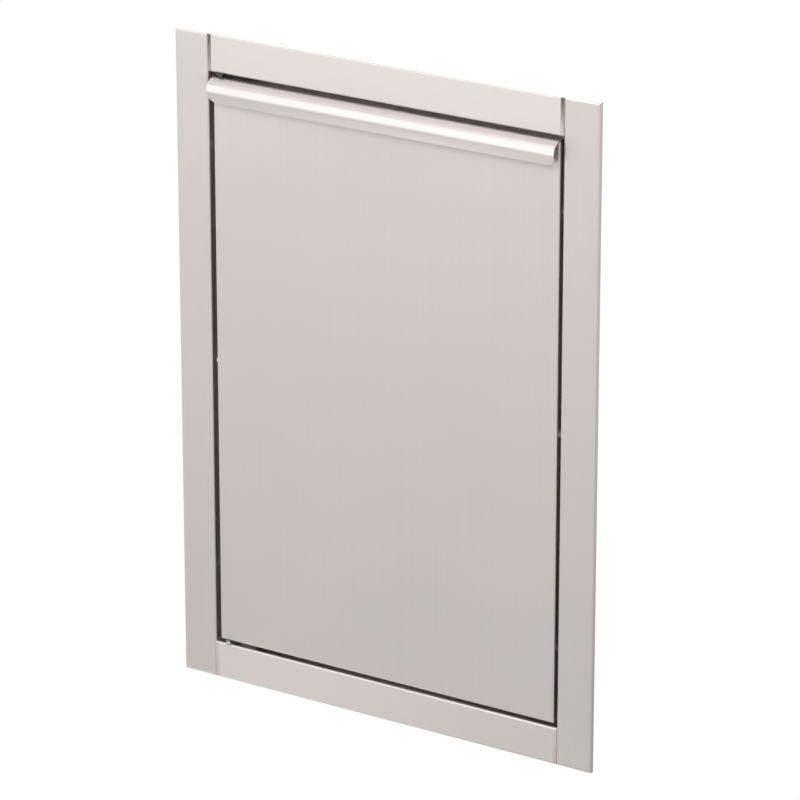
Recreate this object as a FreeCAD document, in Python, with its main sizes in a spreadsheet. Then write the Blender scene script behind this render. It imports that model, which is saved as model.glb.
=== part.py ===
import FreeCAD, Part
import os

import Sketcher

# Access door for an island wall: a folded face frame and a lined door that swings on two
# offset pivots. X runs to the right, Y to the back, Z up. The origin is the centre of the
# opening on the wall's face, against which the frame's outer lips rest.

doc = FreeCAD.newDocument("IslandAccessDoor")

# Driving dimensions, in millimetres and degrees
SIZES = [
    ("frame_width", 431.8, "outside width of the face frame"),
    ("frame_height", 609.6, "outside height of the face frame"),
    ("flange_width", 34.9, "visible width of each frame member"),
    ("lip_depth", 4.5, "outer lip, from the wall to the frame's face"),
    ("frame_sheet", 1.2, "thickness of the frame's sheet"),
    ("bend_inside", 0.8, "inside radius of the frame's bends"),
    ("stop_depth", 23, "from the frame's face to the front of the stop lip"),
    ("stop_lip", 18, "width of the stop lip behind the door"),
    ("hinge_gap", 5.2, "gap beside the door on the hinge side"),
    ("latch_gap", 3.4, "gap beside the door on the latch side"),
    ("top_gap", 3.9, "gap above the door"),
    ("bottom_gap", 3.7, "gap below the door"),
    ("screw_hole", 2.25, "radius of the mounting holes"),
    ("screw_sink", 0.6, "depth of the countersink round a mounting hole"),
    ("screw_setback", 10.3, "middle mounting hole behind the frame's face"),
    ("outer_setback", 14, "outer mounting holes behind the frame's face"),
    ("screw_inset", 70, "outer mounting holes from the ends of the opening"),
    ("bracket_leg", 15, "leg of a corner bracket"),
    ("bracket_sheet", 1.5, "thickness of a corner bracket"),
    ("bracket_width", 13, "width of a corner bracket"),
    ("bracket_setback", 3, "corner bracket behind the wall's face"),
    ("door_depth", 20, "thickness of the closed door"),
    ("door_sheet", 1, "thickness of the door's skin"),
    ("door_bend", 1.8, "outside radius of the skin's front edges"),
    ("liner_sheet", 0.8, "thickness of the inner pan"),
    ("liner_flange", 4.7, "depth of the inner pan's flanges"),
    ("liner_play", 0.15, "play between the inner pan and the skin"),
    ("hat_width", 34, "crown of the stiffener"),
    ("hat_foot", 14, "each foot of the stiffener"),
    ("hat_inset", 35, "stiffener's ends from the ends of the skin"),
    ("handle_sheet", 1.2, "thickness of the handle's sheet"),
    ("handle_cover", 14, "handle's web on top of the door"),
    ("handle_flat", 2.4, "level part of the handle's web in front of the door"),
    ("handle_reach", 9.2, "handle's upper bend in front of the door"),
    ("handle_slope", 26.5, "angle at which the web falls in front of its level part"),
    ("handle_face", 8, "slanted front of the handle"),
    ("handle_lean", 14.5, "angle of the front from upright"),
    ("handle_curl", 10.5, "lower lip of the handle"),
    ("curl_angle", 22, "angle of the lower lip from upright"),
    ("handle_break", 1.5, "inside radius where the web starts to fall"),
    ("handle_bend", 2.8, "inside radius of the handle's upper bend"),
    ("handle_nose", 5.5, "inside radius of the handle's nose"),
    ("handle_corner", 9, "rounding of the lip's lower corners"),
    ("pin_radius", 1.4, "radius of the pivot pins"),
    ("pin_play", 0.05, "radial play round pins and rivets"),
    ("pin_inset", 8.8, "pivot axis from the door's hinge edge"),
    ("pin_forward", 0.5, "pivot axis in front of the door's face"),
    ("plate_sheet", 1.3, "thickness of the hinge plates"),
    ("plate_nose", 2.1, "radius of the hinge plates round the pin"),
    ("plate_side", 4.5, "hinge plate beyond the pin, towards the jamb"),
    ("plate_length", 24, "hinge plate beyond the pin, along the rail"),
    ("plate_tab", 5, "upper plate's neck beyond the pin, towards the jamb"),
    ("plate_setback", 9.7, "wide part of a hinge plate behind the face"),
    ("plate_depth", 6.6, "depth of the wide part"),
    ("washer_play", 0.15, "axial play above and below a washer"),
    ("rivet_radius", 1.25, "radius of the rivets"),
    ("rivet_head", 2.2, "radius of the rivets' heads"),
    ("rivet_dome", 0.8, "height of the rivets' heads"),
    ("rivet_bevel", 0.2, "bevel round the flat heads"),
    ("plate_rivet_pitch", 14, "between the two fasteners of a hinge plate"),
    ("plate_rivet_start", 4.5, "first fastener of a hinge plate from the pin"),
    ("plate_screw", 1.5, "radius of the upper plate's screws"),
    ("plate_screw_head", 2.8, "radius of the countersunk heads"),
    ("nut_radius", 3.2, "radius of the nuts over their corners"),
    ("nut_height", 2.4, "height of the nuts"),
    ("screw_tail", 1, "end of the upper plate's screws beyond the nuts"),
    ("handle_rivet_first", 98, "handle's first rivet from the hinge edge"),
    ("handle_rivet_last", 21, "handle's last rivet from the latch edge"),
    ("handle_rivet_setback", 8, "handle's rivets behind the door's face"),
    ("liner_rivet_inset", 105, "outer liner rivets from the ends of the opening"),
    ("catch_inset", 100, "middle of each catch from the end of the opening"),
    ("catch_width", 12, "width of a catch"),
    ("catch_body", 40, "height of a catch's body"),
    ("catch_depth", 13, "depth of a catch's body"),
    ("catch_wall", 2.5, "wall of a catch's body"),
    ("ear_length", 8, "each ear of a catch"),
    ("ear_depth", 3, "thickness of the ears"),
    ("pole_sheet", 1.2, "thickness of the pole plates"),
    ("pole_reach", 0.1, "air gap between the poles and the strike"),
    ("magnet_depth", 8, "depth of the magnets"),
    ("magnet_play", 0.2, "play round the magnets and poles"),
    ("strike_sheet", 1, "thickness of the strike plates"),
    ("strike_height", 60, "height of the strike plates"),
    ("strike_rivet_spread", 48, "between the rivets of a strike plate"),
    ("catch_screw_radius", 1.5, "radius of the catches' screws"),
    ("catch_screw_head", 3, "radius of the catches' screw heads"),
    ("catch_screw_top", 2.1, "radius of the top of those heads"),
    ("catch_head_height", 1.5, "height of those heads"),
    ("bumper_inset", 35, "each bumper from the end of the opening"),
    ("bumper_radius", 4, "radius of the bumpers"),
    ("bumper_stem", 1.8, "radius of the bumpers' stems"),
    ("bumper_bevel", 0.6, "bevel round the bumpers' faces"),
    ("bumper_bead", 0.7, "bead behind the stop lip, beyond the stem"),
    ("bumper_play", 0.2, "air gap between the bumpers and the closed door"),
    ("overcut", 1, "how far a cut runs past the sheet that it goes through"),
]

sheet = doc.addObject("Spreadsheet::Sheet", "Dim")
for row, (alias, value, meaning) in enumerate(SIZES, 1):
    sheet.set(f"A{row}", alias)
    sheet.set(f"B{row}", str(value))
    sheet.set(f"C{row}", meaning)
    sheet.setAlias(f"B{row}", alias)
doc.recompute()

# Places that several pieces share, as formulas of the driving dimensions
OPEN_X = "(Dim.frame_width / 2 - Dim.flange_width)"
OPEN_Z = "(Dim.frame_height / 2 - Dim.flange_width)"
FRONT = "(-Dim.lip_depth)"
STOP = f"({FRONT} + Dim.stop_depth)"
STOP_BACK = f"({STOP} + Dim.frame_sheet)"
DOOR_LEFT = f"(-{OPEN_X} + Dim.hinge_gap)"
DOOR_RIGHT = f"({OPEN_X} - Dim.latch_gap)"
DOOR_BOTTOM = f"(-{OPEN_Z} + Dim.bottom_gap)"
DOOR_TOP = f"({OPEN_Z} - Dim.top_gap)"
SKIN_TOP = f"({DOOR_TOP} - Dim.handle_sheet)"
DOOR_BACK = f"({FRONT} + Dim.door_depth)"
PIN_X = f"({DOOR_LEFT} + Dim.pin_inset)"
PIN_Y = f"({FRONT} - Dim.pin_forward)"
PLATE_Y = f"({FRONT} + Dim.plate_setback)"
PLATE_MID_Y = f"({PLATE_Y} + Dim.plate_depth / 2)"
CATCH_X = f"({OPEN_X} - Dim.stop_lip + Dim.catch_width / 2 + Dim.magnet_play)"
STRIKE_BACK = f"({DOOR_BACK} + Dim.strike_sheet)"
FRAME_BEND = "(Dim.bend_inside + Dim.frame_sheet)"
HOLE = "(Dim.rivet_radius + Dim.pin_play)"
CATCH_Z = f"({OPEN_Z} - Dim.catch_inset)"
BUMPER_Z = f"({OPEN_Z} - Dim.bumper_inset)"
TURNS = {
    "X": FreeCAD.Rotation(FreeCAD.Vector(0, 1, 0), 90),
    "Y": FreeCAD.Rotation(FreeCAD.Vector(1, 0, 0), -90),
    "Z": FreeCAD.Rotation(),
    "-Y": FreeCAD.Rotation(FreeCAD.Vector(1, 0, 0), 90),
    "-Z": FreeCAD.Rotation(FreeCAD.Vector(1, 0, 0), 180),
    "-X": FreeCAD.Rotation(FreeCAD.Vector(0, 1, 0), -90),
}

parts = []


def keep(item, label):
    item.Label = label
    parts.append(item)
    return item


def bind(item, **formulas):
    for name, formula in formulas.items():
        item.setExpression(name, formula)


def place(item, x, y, z, along="Z"):
    item.Placement = FreeCAD.Placement(FreeCAD.Vector(), TURNS[along])
    item.setExpression("Placement.Base.x", x)
    item.setExpression("Placement.Base.y", y)
    item.setExpression("Placement.Base.z", z)


# Plain solids bound to the sheet
def box(name, low, high):
    item = doc.addObject("Part::Box", name)
    bind(
        item,
        Length=f"({high[0]}) - ({low[0]})",
        Width=f"({high[1]}) - ({low[1]})",
        Height=f"({high[2]}) - ({low[2]})",
    )
    place(item, *low)
    return item


def rod(name, radius, start, length, along="Z"):
    item = doc.addObject("Part::Cylinder", name)
    bind(item, Radius=radius, Height=length)
    place(item, *start, along)
    return item


def taper(name, first, second, start, length, along="Z"):
    item = doc.addObject("Part::Cone", name)
    bind(item, Radius1=first, Radius2=second, Height=length)
    place(item, *start, along)
    return item


def join(name, items):
    item = doc.addObject("Part::MultiFuse", name)
    item.Shapes = items
    item.Refine = True
    return item


def remove(name, base, tools):
    tool = tools[0] if len(tools) == 1 else join(f"{name}_tools", tools)
    item = doc.addObject("Part::Cut", name)
    item.Base = base
    item.Tool = tool
    item.Refine = True
    return item


def group(name, items):
    item = doc.addObject("Part::Compound", name)
    item.Links = items
    return item


# Bodies made from sketches
def sketch_on(body, role, setback="0"):
    plane = [item for item in body.Origin.OriginFeatures if item.Role == role][0]
    sketch = body.newObject("Sketcher::SketchObject", f"{body.Name}_sketch")
    sketch.AttachmentSupport = [(plane, "")]
    sketch.MapMode = "FlatFace"
    sketch.setExpression("AttachmentOffset.Base.z", setback)
    return sketch


def pin_point(sketch, line, x, y):
    for kind, formula in (("DistanceX", x), ("DistanceY", y)):
        number = sketch.addConstraint(Sketcher.Constraint(kind, -1, 1, line, 1, 1.0))
        sketch.setExpression(f"Constraints[{number}]", formula)


def outline(sketch, corners):
    """Closes straight lines through the corners, each held by its two distances from the origin."""
    start = sketch.GeometryCount
    count = len(corners)
    for number in range(count):
        first = FreeCAD.Vector(number + 1, number * number, 0)
        after = (number + 1) % count
        second = FreeCAD.Vector(after + 1, after * after, 0)
        sketch.addGeometry(Part.LineSegment(first, second))
    for number in range(count):
        after = start + (number + 1) % count
        sketch.addConstraint(Sketcher.Constraint("Coincident", start + number, 2, after, 1))
    for number, (x, y) in enumerate(corners):
        pin_point(sketch, start + number, x, y)


def rectangle(sketch, low, high):
    outline(sketch, [(low[0], low[1]), (high[0], low[1]), (high[0], high[1]), (low[0], high[1])])


def ring(sketch, x, y, radius):
    number = sketch.addGeometry(Part.Circle(FreeCAD.Vector(1, 1, 0), FreeCAD.Vector(0, 0, 1), 1))
    for kind, formula in (("DistanceX", x), ("DistanceY", y)):
        held = sketch.addConstraint(Sketcher.Constraint(kind, -1, 1, number, 3, 1.0))
        sketch.setExpression(f"Constraints[{held}]", formula)
    held = sketch.addConstraint(Sketcher.Constraint("Radius", number, 1.0))
    sketch.setExpression(f"Constraints[{held}]", radius)


def pad(body, sketch, length, side="One side", backwards=False):
    feature = body.newObject("PartDesign::Pad", f"{body.Name}_pad")
    feature.Profile = sketch
    feature.SideType = side
    feature.Reversed = backwards
    feature.setExpression("Length", length)
    doc.recompute()
    return feature


def pocket(body, sketch, length=None, side="One side", backwards=False):
    """Cuts through all, or to a length, and makes sure that something was cut."""
    before = body.Shape.Volume
    feature = body.newObject("PartDesign::Pocket", f"{body.Name}_pocket")
    feature.Profile = sketch
    feature.SideType = side
    feature.Reversed = backwards
    if length is None:
        feature.Type = "ThroughAll"
    else:
        feature.setExpression("Length", length)
    doc.recompute()
    if body.Shape.Volume > before - 0.01:
        raise RuntimeError(f"{feature.Name} cuts nothing")
    return feature


def edges_on(body, sketch, corners, slack=0.001):
    """Names the straight edges of the body that stand on the given corners of its sketch."""
    normal = sketch.Placement.Rotation.multVec(FreeCAD.Vector(0, 0, 1))
    names = []
    for number, edge in enumerate(body.Tip.Shape.Edges, 1):
        if not isinstance(edge.Curve, Part.Line):
            continue
        if edge.Curve.Direction.cross(normal).Length > slack:
            continue
        for corner in corners:
            point = sketch.Placement.multVec(sketch.Geometry[corner].StartPoint)
            if (edge.Vertexes[0].Point - point).cross(normal).Length < slack:
                names.append(f"Edge{number}")
    return names


def soften(body, names, radius):
    base = body.Tip
    feature = body.newObject("PartDesign::Fillet", f"{body.Name}_bend")
    feature.Base = (base, names)
    feature.setExpression("Radius", radius)
    doc.recompute()
    return feature


def number_of(alias):
    return float(sheet.get(alias))


# The frame's folded section: outer lip, face, jamb and stop lip, as distances from the middle
def folded_section(half, side):
    inner = f"({half} - Dim.flange_width)"
    across = [
        half,
        half,
        inner,
        inner,
        f"{inner} - Dim.stop_lip",
        f"{inner} - Dim.stop_lip",
        f"{inner} + Dim.frame_sheet",
        f"{inner} + Dim.frame_sheet",
        f"{half} - Dim.frame_sheet",
        f"{half} - Dim.frame_sheet",
    ]
    behind = f"({FRONT} + Dim.frame_sheet)"
    deep = ["0", FRONT, FRONT, STOP, STOP, STOP_BACK, STOP_BACK, behind, behind, "0"]
    return [(f"{side} * ({x})", y) for x, y in zip(across, deep)]


OUTSIDE_BENDS = (1, 2, 6)
INSIDE_BENDS = (3, 7, 8)


# Stiles: full height, with a lip at each end and the jamb coped where the rails begin
def end_front_edges(body):
    front = -number_of("lip_depth")
    top = number_of("frame_height") / 2
    names = []
    for number, edge in enumerate(body.Tip.Shape.Edges, 1):
        point = edge.Vertexes[0].Point
        level = isinstance(edge.Curve, Part.Line) and abs(edge.Curve.Direction.x) > 0.999
        if level and abs(point.y - front) < 0.001 and abs(abs(point.z) - top) < 0.001:
            names.append(f"Edge{number}")
    return names


def stile(label, side):
    body = doc.addObject("PartDesign::Body", label)
    section = sketch_on(body, "XY_Plane")
    outline(section, folded_section("Dim.frame_width / 2", side))
    pad(body, section, "Dim.frame_height", "Symmetric")
    for end in (-1, 1):
        level = "Dim.frame_height / 2 - Dim.frame_sheet" if end > 0 else "-Dim.frame_height / 2"
        cap = sketch_on(body, "XY_Plane", level)
        low = (f"{side} * {OPEN_X}", FRONT)
        high = (f"{side} * (Dim.frame_width / 2 - Dim.frame_sheet / 2)", "0")
        rectangle(cap, low, high)
        pad(body, cap, "Dim.frame_sheet")
    doc.recompute()
    names = edges_on(body, section, OUTSIDE_BENDS) + end_front_edges(body)
    soften(body, names, FRAME_BEND)
    soften(body, edges_on(body, section, INSIDE_BENDS), "Dim.bend_inside")
    for end in (-1, 1):
        cope = sketch_on(body, "XZ_Plane")
        top = f"{end} * (Dim.frame_height / 2 + Dim.overcut)"
        inner = f"{side} * ({OPEN_X} - Dim.stop_lip - Dim.overcut)"
        outline(
            cope,
            [
                (inner, f"{end} * {OPEN_Z}"),
                (f"{side} * {OPEN_X}", f"{end} * {OPEN_Z}"),
                (f"{side} * {OPEN_X}", f"{end} * ({OPEN_Z} + Dim.frame_sheet)"),
                (f"{side} * ({OPEN_X} + Dim.flange_width)", f"{end} * ({OPEN_Z} + Dim.frame_sheet)"),
                (f"{side} * ({OPEN_X} + Dim.flange_width)", top),
                (inner, top),
            ],
        )
        pocket(body, cope)
    return body


def mounting_holes(body, side):
    holes = sketch_on(body, "YZ_Plane")
    for level in (-1, 0, 1):
        height = f"{level} * ({OPEN_Z} - Dim.screw_inset)"
        setback = "Dim.outer_setback" if level else "Dim.screw_setback"
        ring(holes, f"{FRONT} + {setback}", height, "Dim.screw_hole")
    pocket(body, holes, None, "Symmetric")
    base = body.Tip
    jamb = side * (number_of("frame_width") / 2 - number_of("flange_width"))
    names = []
    for number, edge in enumerate(base.Shape.Edges, 1):
        if isinstance(edge.Curve, Part.Circle) and abs(edge.Curve.Center.x - jamb) < 0.001:
            if abs(edge.Curve.Radius - number_of("screw_hole")) < 0.001:
                names.append(f"Edge{number}")
    sink = body.newObject("PartDesign::Chamfer", f"{body.Name}_sink")
    sink.Base = (base, names)
    sink.setExpression("Size", "Dim.screw_sink")
    doc.recompute()


# A window for the catch's poles, with its screw holes, and a hole for the bumper's stem
def latch_holes(body):
    windows = sketch_on(body, "XZ_Plane")
    half = "(Dim.catch_width / 2 - Dim.catch_wall)"
    tall = "(Dim.catch_body / 2 - Dim.catch_wall)"
    for end in (-1, 1):
        level = f"({end} * {CATCH_Z})"
        low = (f"{CATCH_X} - {half}", f"{level} - {tall}")
        high = (f"{CATCH_X} + {half}", f"{level} + {tall}")
        rectangle(windows, low, high)
        for ear in (-1, 1):
            spread = f"{level} + {ear} * (Dim.catch_body + Dim.ear_length) / 2"
            ring(windows, CATCH_X, spread, "Dim.catch_screw_radius + Dim.pin_play")
        ring(windows, CATCH_X, f"{end} * {BUMPER_Z}", "Dim.bumper_stem + Dim.pin_play")
    pocket(body, windows)


left = keep(stile("frame_stile_left", -1), "frame_stile_left")
mounting_holes(left, -1)
right = keep(stile("frame_stile_right", 1), "frame_stile_right")
mounting_holes(right, 1)
latch_holes(right)


# Rails: between the stiles, with the stop lip coped at both ends and holes for the hinge plate
def plate_fastener_x(number):
    return f"({PIN_X} + Dim.plate_rivet_start + {number} * Dim.plate_rivet_pitch)"


def rail(label, side, hole):
    body = doc.addObject("PartDesign::Body", label)
    section = sketch_on(body, "YZ_Plane")
    corners = folded_section("Dim.frame_height / 2", side)
    outline(section, [(y, z) for z, y in corners])
    pad(body, section, f"2 * {OPEN_X}", "Symmetric")
    soften(body, edges_on(body, section, OUTSIDE_BENDS), FRAME_BEND)
    soften(body, edges_on(body, section, INSIDE_BENDS), "Dim.bend_inside")
    cope = sketch_on(body, "XZ_Plane")
    for end in (-1, 1):
        low = (f"{end} * ({OPEN_X} - Dim.stop_lip)", f"{side} * ({OPEN_Z} - Dim.stop_lip - Dim.overcut)")
        high = (f"{end} * ({OPEN_X} + Dim.overcut)", f"{side} * {OPEN_Z}")
        rectangle(cope, low, high)
    pocket(body, cope)
    holes = sketch_on(body, "XY_Plane")
    for number in (0, 1):
        ring(holes, plate_fastener_x(number), PLATE_MID_Y, hole)
    pocket(body, holes, None, "Symmetric")
    return keep(body, label)


rail("frame_rail_top", 1, "Dim.plate_screw + Dim.pin_play")
rail("frame_rail_bottom", -1, HOLE)


# Corner brackets: angles welded round the outside of the jambs
def corner_bracket(label, side, end):
    body = doc.addObject("PartDesign::Body", label)
    section = sketch_on(body, "XZ_Plane", "-Dim.bracket_setback")
    x = f"({OPEN_X} + Dim.frame_sheet)"
    z = f"({OPEN_Z} + Dim.frame_sheet)"
    corners = [
        (x, z),
        (x, f"{z} - Dim.bracket_leg"),
        (f"{x} + Dim.bracket_sheet", f"{z} - Dim.bracket_leg"),
        (f"{x} + Dim.bracket_sheet", f"{z} + Dim.bracket_sheet"),
        (f"{x} - Dim.bracket_leg", f"{z} + Dim.bracket_sheet"),
        (f"{x} - Dim.bracket_leg", z),
    ]
    outline(section, [(f"{side} * ({a})", f"{end} * ({b})") for a, b in corners])
    pad(body, section, "Dim.bracket_width", backwards=True)
    soften(body, edges_on(body, section, (3,)), "Dim.bracket_sheet")
    keep(body, label)


for end, upper in ((1, "top"), (-1, "bottom")):
    for side, word in ((-1, "left"), (1, "right")):
        corner_bracket(f"corner_bracket_{upper}_{word}", side, end)


# Door skin: a pan folded from one sheet, open at the back
def pan_edges(body, depth):
    """Names the four long edges of a pan's front at the given depth."""
    names = []
    for number, edge in enumerate(body.Tip.Shape.Edges, 1):
        ends = [vertex.Point.y for vertex in edge.Vertexes]
        if len(ends) == 2 and max(abs(y - depth) for y in ends) < 0.001:
            names.append(f"Edge{number}")
    return names


skin = doc.addObject("PartDesign::Body", "door_skin")
front_plane = sketch_on(skin, "XZ_Plane", f"-{FRONT}")
rectangle(front_plane, (DOOR_LEFT, DOOR_BOTTOM), (DOOR_RIGHT, SKIN_TOP))
pad(skin, front_plane, "Dim.door_depth", backwards=True)
inside = sketch_on(skin, "XZ_Plane", f"-{FRONT} - Dim.door_sheet")
rectangle(
    inside,
    (f"{DOOR_LEFT} + Dim.door_sheet", f"{DOOR_BOTTOM} + Dim.door_sheet"),
    (f"{DOOR_RIGHT} - Dim.door_sheet", f"{SKIN_TOP} - Dim.door_sheet"),
)
soften(skin, pan_edges(skin, -number_of("lip_depth")), "Dim.door_bend")
pocket(skin, inside)
inside_edges = pan_edges(skin, number_of("door_sheet") - number_of("lip_depth"))
soften(skin, inside_edges, "Dim.door_bend - Dim.door_sheet")

# Rivet places on the door, shared by the skin, the liner, the handle and the rivets
FIRST_RIVET = f"({DOOR_LEFT} + Dim.handle_rivet_first)"
LAST_RIVET = f"({DOOR_RIGHT} - Dim.handle_rivet_last)"
HANDLE_RIVETS = [f"({FIRST_RIVET} + ({LAST_RIVET} - {FIRST_RIVET}) * {third} / 3)" for third in range(4)]
HANDLE_RIVET_Y = f"({FRONT} + Dim.handle_rivet_setback)"
LINER_RIVETS = [f"({end} * ({OPEN_Z} - Dim.liner_rivet_inset))" for end in (-1, 0, 1)]
LINER_RIVET_Y = f"({DOOR_BACK} - Dim.liner_flange / 2)"


def door_fastener_holes(body):
    crosswise = sketch_on(body, "YZ_Plane")
    for level in LINER_RIVETS:
        ring(crosswise, LINER_RIVET_Y, level, HOLE)
    pocket(body, crosswise, None, "Symmetric")


door_fastener_holes(skin)
upright = sketch_on(skin, "XY_Plane")
for x in HANDLE_RIVETS:
    ring(upright, x, HANDLE_RIVET_Y, HOLE)
pocket(skin, upright, None, "One side", True)
hinge_side = sketch_on(skin, "XY_Plane")
for number in (0, 1):
    ring(hinge_side, plate_fastener_x(number), PLATE_MID_Y, HOLE)
pocket(skin, hinge_side)
keep(skin, "door_skin")

# Door liner: a shallow pan pushed into the skin from behind and riveted at the sides
liner = doc.addObject("PartDesign::Body", "door_liner")
back_plane = sketch_on(liner, "XZ_Plane", f"-{DOOR_BACK}")
inset = "(Dim.door_sheet + Dim.liner_play)"
rectangle(
    back_plane,
    (f"{DOOR_LEFT} + {inset}", f"{DOOR_BOTTOM} + {inset}"),
    (f"{DOOR_RIGHT} - {inset}", f"{SKIN_TOP} - {inset}"),
)
pad(liner, back_plane, "Dim.liner_flange")
hollow = sketch_on(liner, "XZ_Plane", f"-{DOOR_BACK} + Dim.liner_sheet")
wall = f"({inset} + Dim.liner_sheet)"
rectangle(
    hollow,
    (f"{DOOR_LEFT} + {wall}", f"{DOOR_BOTTOM} + {wall}"),
    (f"{DOOR_RIGHT} - {wall}", f"{SKIN_TOP} - {wall}"),
)
soften(liner, pan_edges(liner, number_of("door_depth") - number_of("lip_depth")), "Dim.liner_sheet")
pocket(liner, hollow, None, "One side", True)
door_fastener_holes(liner)
strikes = sketch_on(liner, "XZ_Plane")
for end in (-1, 1):
    for half in (-0.5, 0.5):
        ring(strikes, CATCH_X, f"{end} * {CATCH_Z} + {half} * Dim.strike_rivet_spread", HOLE)
pocket(liner, strikes)
keep(liner, "door_liner")

# Stiffener: a hat section glued upright between the skin and the liner
hat = doc.addObject("PartDesign::Body", "door_stiffener")
hat_section = sketch_on(hat, "XY_Plane", f"{DOOR_BOTTOM} + Dim.hat_inset")
near = f"({FRONT} + Dim.door_sheet)"
far = f"({DOOR_BACK} - Dim.liner_sheet)"
half = "Dim.hat_width / 2"
outline(
    hat_section,
    [
        (f"-{half} - Dim.hat_foot", far),
        (f"-{half} - Dim.hat_foot", f"{far} - Dim.door_sheet"),
        (f"-{half}", f"{far} - Dim.door_sheet"),
        (f"-{half}", near),
        (half, near),
        (half, f"{far} - Dim.door_sheet"),
        (f"{half} + Dim.hat_foot", f"{far} - Dim.door_sheet"),
        (f"{half} + Dim.hat_foot", far),
        (f"{half} - Dim.door_sheet", far),
        (f"{half} - Dim.door_sheet", f"{near} + Dim.door_sheet"),
        (f"-{half} + Dim.door_sheet", f"{near} + Dim.door_sheet"),
        (f"-{half} + Dim.door_sheet", far),
    ],
)
pad(hat, hat_section, f"{SKIN_TOP} - {DOOR_BOTTOM} - 2 * Dim.hat_inset")
keep(hat, "door_stiffener")

# Handle: one sheet along the door's whole top edge. Its web lies on the door and falls in
# front of it, its front leans out and its lower lip curls back, so that fingers reach in.
handle = doc.addObject("PartDesign::Body", "handle")
curl = sketch_on(handle, "YZ_Plane", DOOR_LEFT)
fall = "Dim.handle_slope * 1 deg"
lean = "Dim.handle_lean * 1 deg"
turn = "Dim.curl_angle * 1 deg"
break_y = f"({FRONT} - Dim.handle_flat)"
crest_y = f"({FRONT} - Dim.handle_reach)"
crest_z = f"({DOOR_TOP} - (Dim.handle_reach - Dim.handle_flat) * tan({fall}))"
nose_y = f"({crest_y} - Dim.handle_face * sin({lean}))"
nose_z = f"({crest_z} - Dim.handle_face * cos({lean}))"
tip_y = f"({nose_y} + Dim.handle_curl * sin({turn}))"
tip_z = f"({nose_z} - Dim.handle_curl * cos({turn}))"
break_miter = f"tan({fall} / 2)"
crest_share = f"(1 + sin({fall} + {lean}))"
inside_crest_y = f"({crest_y} + Dim.handle_sheet * (cos({lean}) - sin({fall})) / {crest_share})"
inside_crest_z = f"({crest_z} - Dim.handle_sheet * (sin({lean}) + cos({fall})) / {crest_share})"
nose_share = f"(1 + cos({lean} + {turn}))"
nose_miter_y = f"(cos({lean}) + cos({turn})) / {nose_share}"
nose_miter_z = f"(sin({turn}) - sin({lean})) / {nose_share}"
web_back = f"({FRONT} + Dim.handle_cover)"
outline(
    curl,
    [
        (web_back, DOOR_TOP),
        (break_y, DOOR_TOP),
        (crest_y, crest_z),
        (nose_y, nose_z),
        (tip_y, tip_z),
        (f"{tip_y} + Dim.handle_sheet * cos({turn})", f"{tip_z} + Dim.handle_sheet * sin({turn})"),
        (f"{nose_y} + Dim.handle_sheet * {nose_miter_y}", f"{nose_z} + Dim.handle_sheet * {nose_miter_z}"),
        (inside_crest_y, inside_crest_z),
        (f"{break_y} + Dim.handle_sheet * {break_miter}", SKIN_TOP),
        (web_back, SKIN_TOP),
    ],
)
pad(handle, curl, f"{DOOR_RIGHT} - {DOOR_LEFT}")
BENDS = [(1, 8, "Dim.handle_break"), (2, 7, "Dim.handle_bend"), (3, 6, "Dim.handle_nose")]
for outer, inner, radius in BENDS:
    soften(handle, edges_on(handle, curl, (outer,)), f"{radius} + Dim.handle_sheet")
    soften(handle, edges_on(handle, curl, (inner,)), radius)


# The lip's lower corners are cut round
def round_lip_corner(edge_x, inward):
    trim = sketch_on(handle, "XZ_Plane", f"-{FRONT} + Dim.handle_sheet")
    low = f"({tip_z} - Dim.overcut)"
    outer = f"({edge_x} - {inward} * Dim.overcut)"
    top = f"({tip_z} + Dim.handle_corner)"
    centre_x = f"({edge_x} + {inward} * Dim.handle_corner)"
    steps = [(0, 1), (0.076, 0.617), (0.293, 0.293), (0.617, 0.076), (1, 0)]
    corners = [(outer, top)]
    for across, up in steps:
        x = f"{edge_x} + {inward} * Dim.handle_corner * {across}"
        corners.append((x, f"{tip_z} + Dim.handle_corner * {up}"))
    corners.append((centre_x, low))
    corners.append((outer, low))
    outline(trim, corners)
    pocket(handle, trim, None, "One side", True)


round_lip_corner(DOOR_LEFT, 1)
round_lip_corner(DOOR_RIGHT, -1)
web_holes = sketch_on(handle, "XY_Plane")
for x in HANDLE_RIVETS:
    ring(web_holes, x, HANDLE_RIVET_Y, HOLE)
ring(web_holes, PIN_X, PIN_Y, "Dim.pin_radius + Dim.pin_play")
pocket(handle, web_holes, None, "One side", True)
keep(handle, "handle")


# Hinge plates: a wide part behind the face and a narrow nose round the pin
def hinge_plate(label, low_z, tools, side="Dim.plate_nose"):
    high_z = f"{low_z} + Dim.plate_sheet"
    wide = box(
        f"{label}_wide",
        (f"{PIN_X} - Dim.plate_side", PLATE_Y, low_z),
        (f"{PIN_X} + Dim.plate_length", f"{PLATE_Y} + Dim.plate_depth", high_z),
    )
    neck = box(
        f"{label}_neck",
        (f"{PIN_X} - {side}", PIN_Y, low_z),
        (f"{PIN_X} + Dim.plate_nose", f"{PLATE_Y} + Dim.plate_sheet", high_z),
    )
    nose = rod(f"{label}_nose", "Dim.plate_nose", (PIN_X, PIN_Y, low_z), "Dim.plate_sheet")
    blank = join(f"{label}_blank", [wide, neck, nose])
    start = f"{low_z} - Dim.plate_sheet"
    bore = "Dim.pin_radius + Dim.pin_play"
    holes = [rod(f"{label}_bore", bore, (PIN_X, PIN_Y, start), "3 * Dim.plate_sheet")]
    for number in (0, 1):
        point = (plate_fastener_x(number), PLATE_MID_Y, start)
        holes.append(rod(f"{label}_hole{number}", tools, point, "3 * Dim.plate_sheet"))
    return remove(label, blank, holes)


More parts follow.
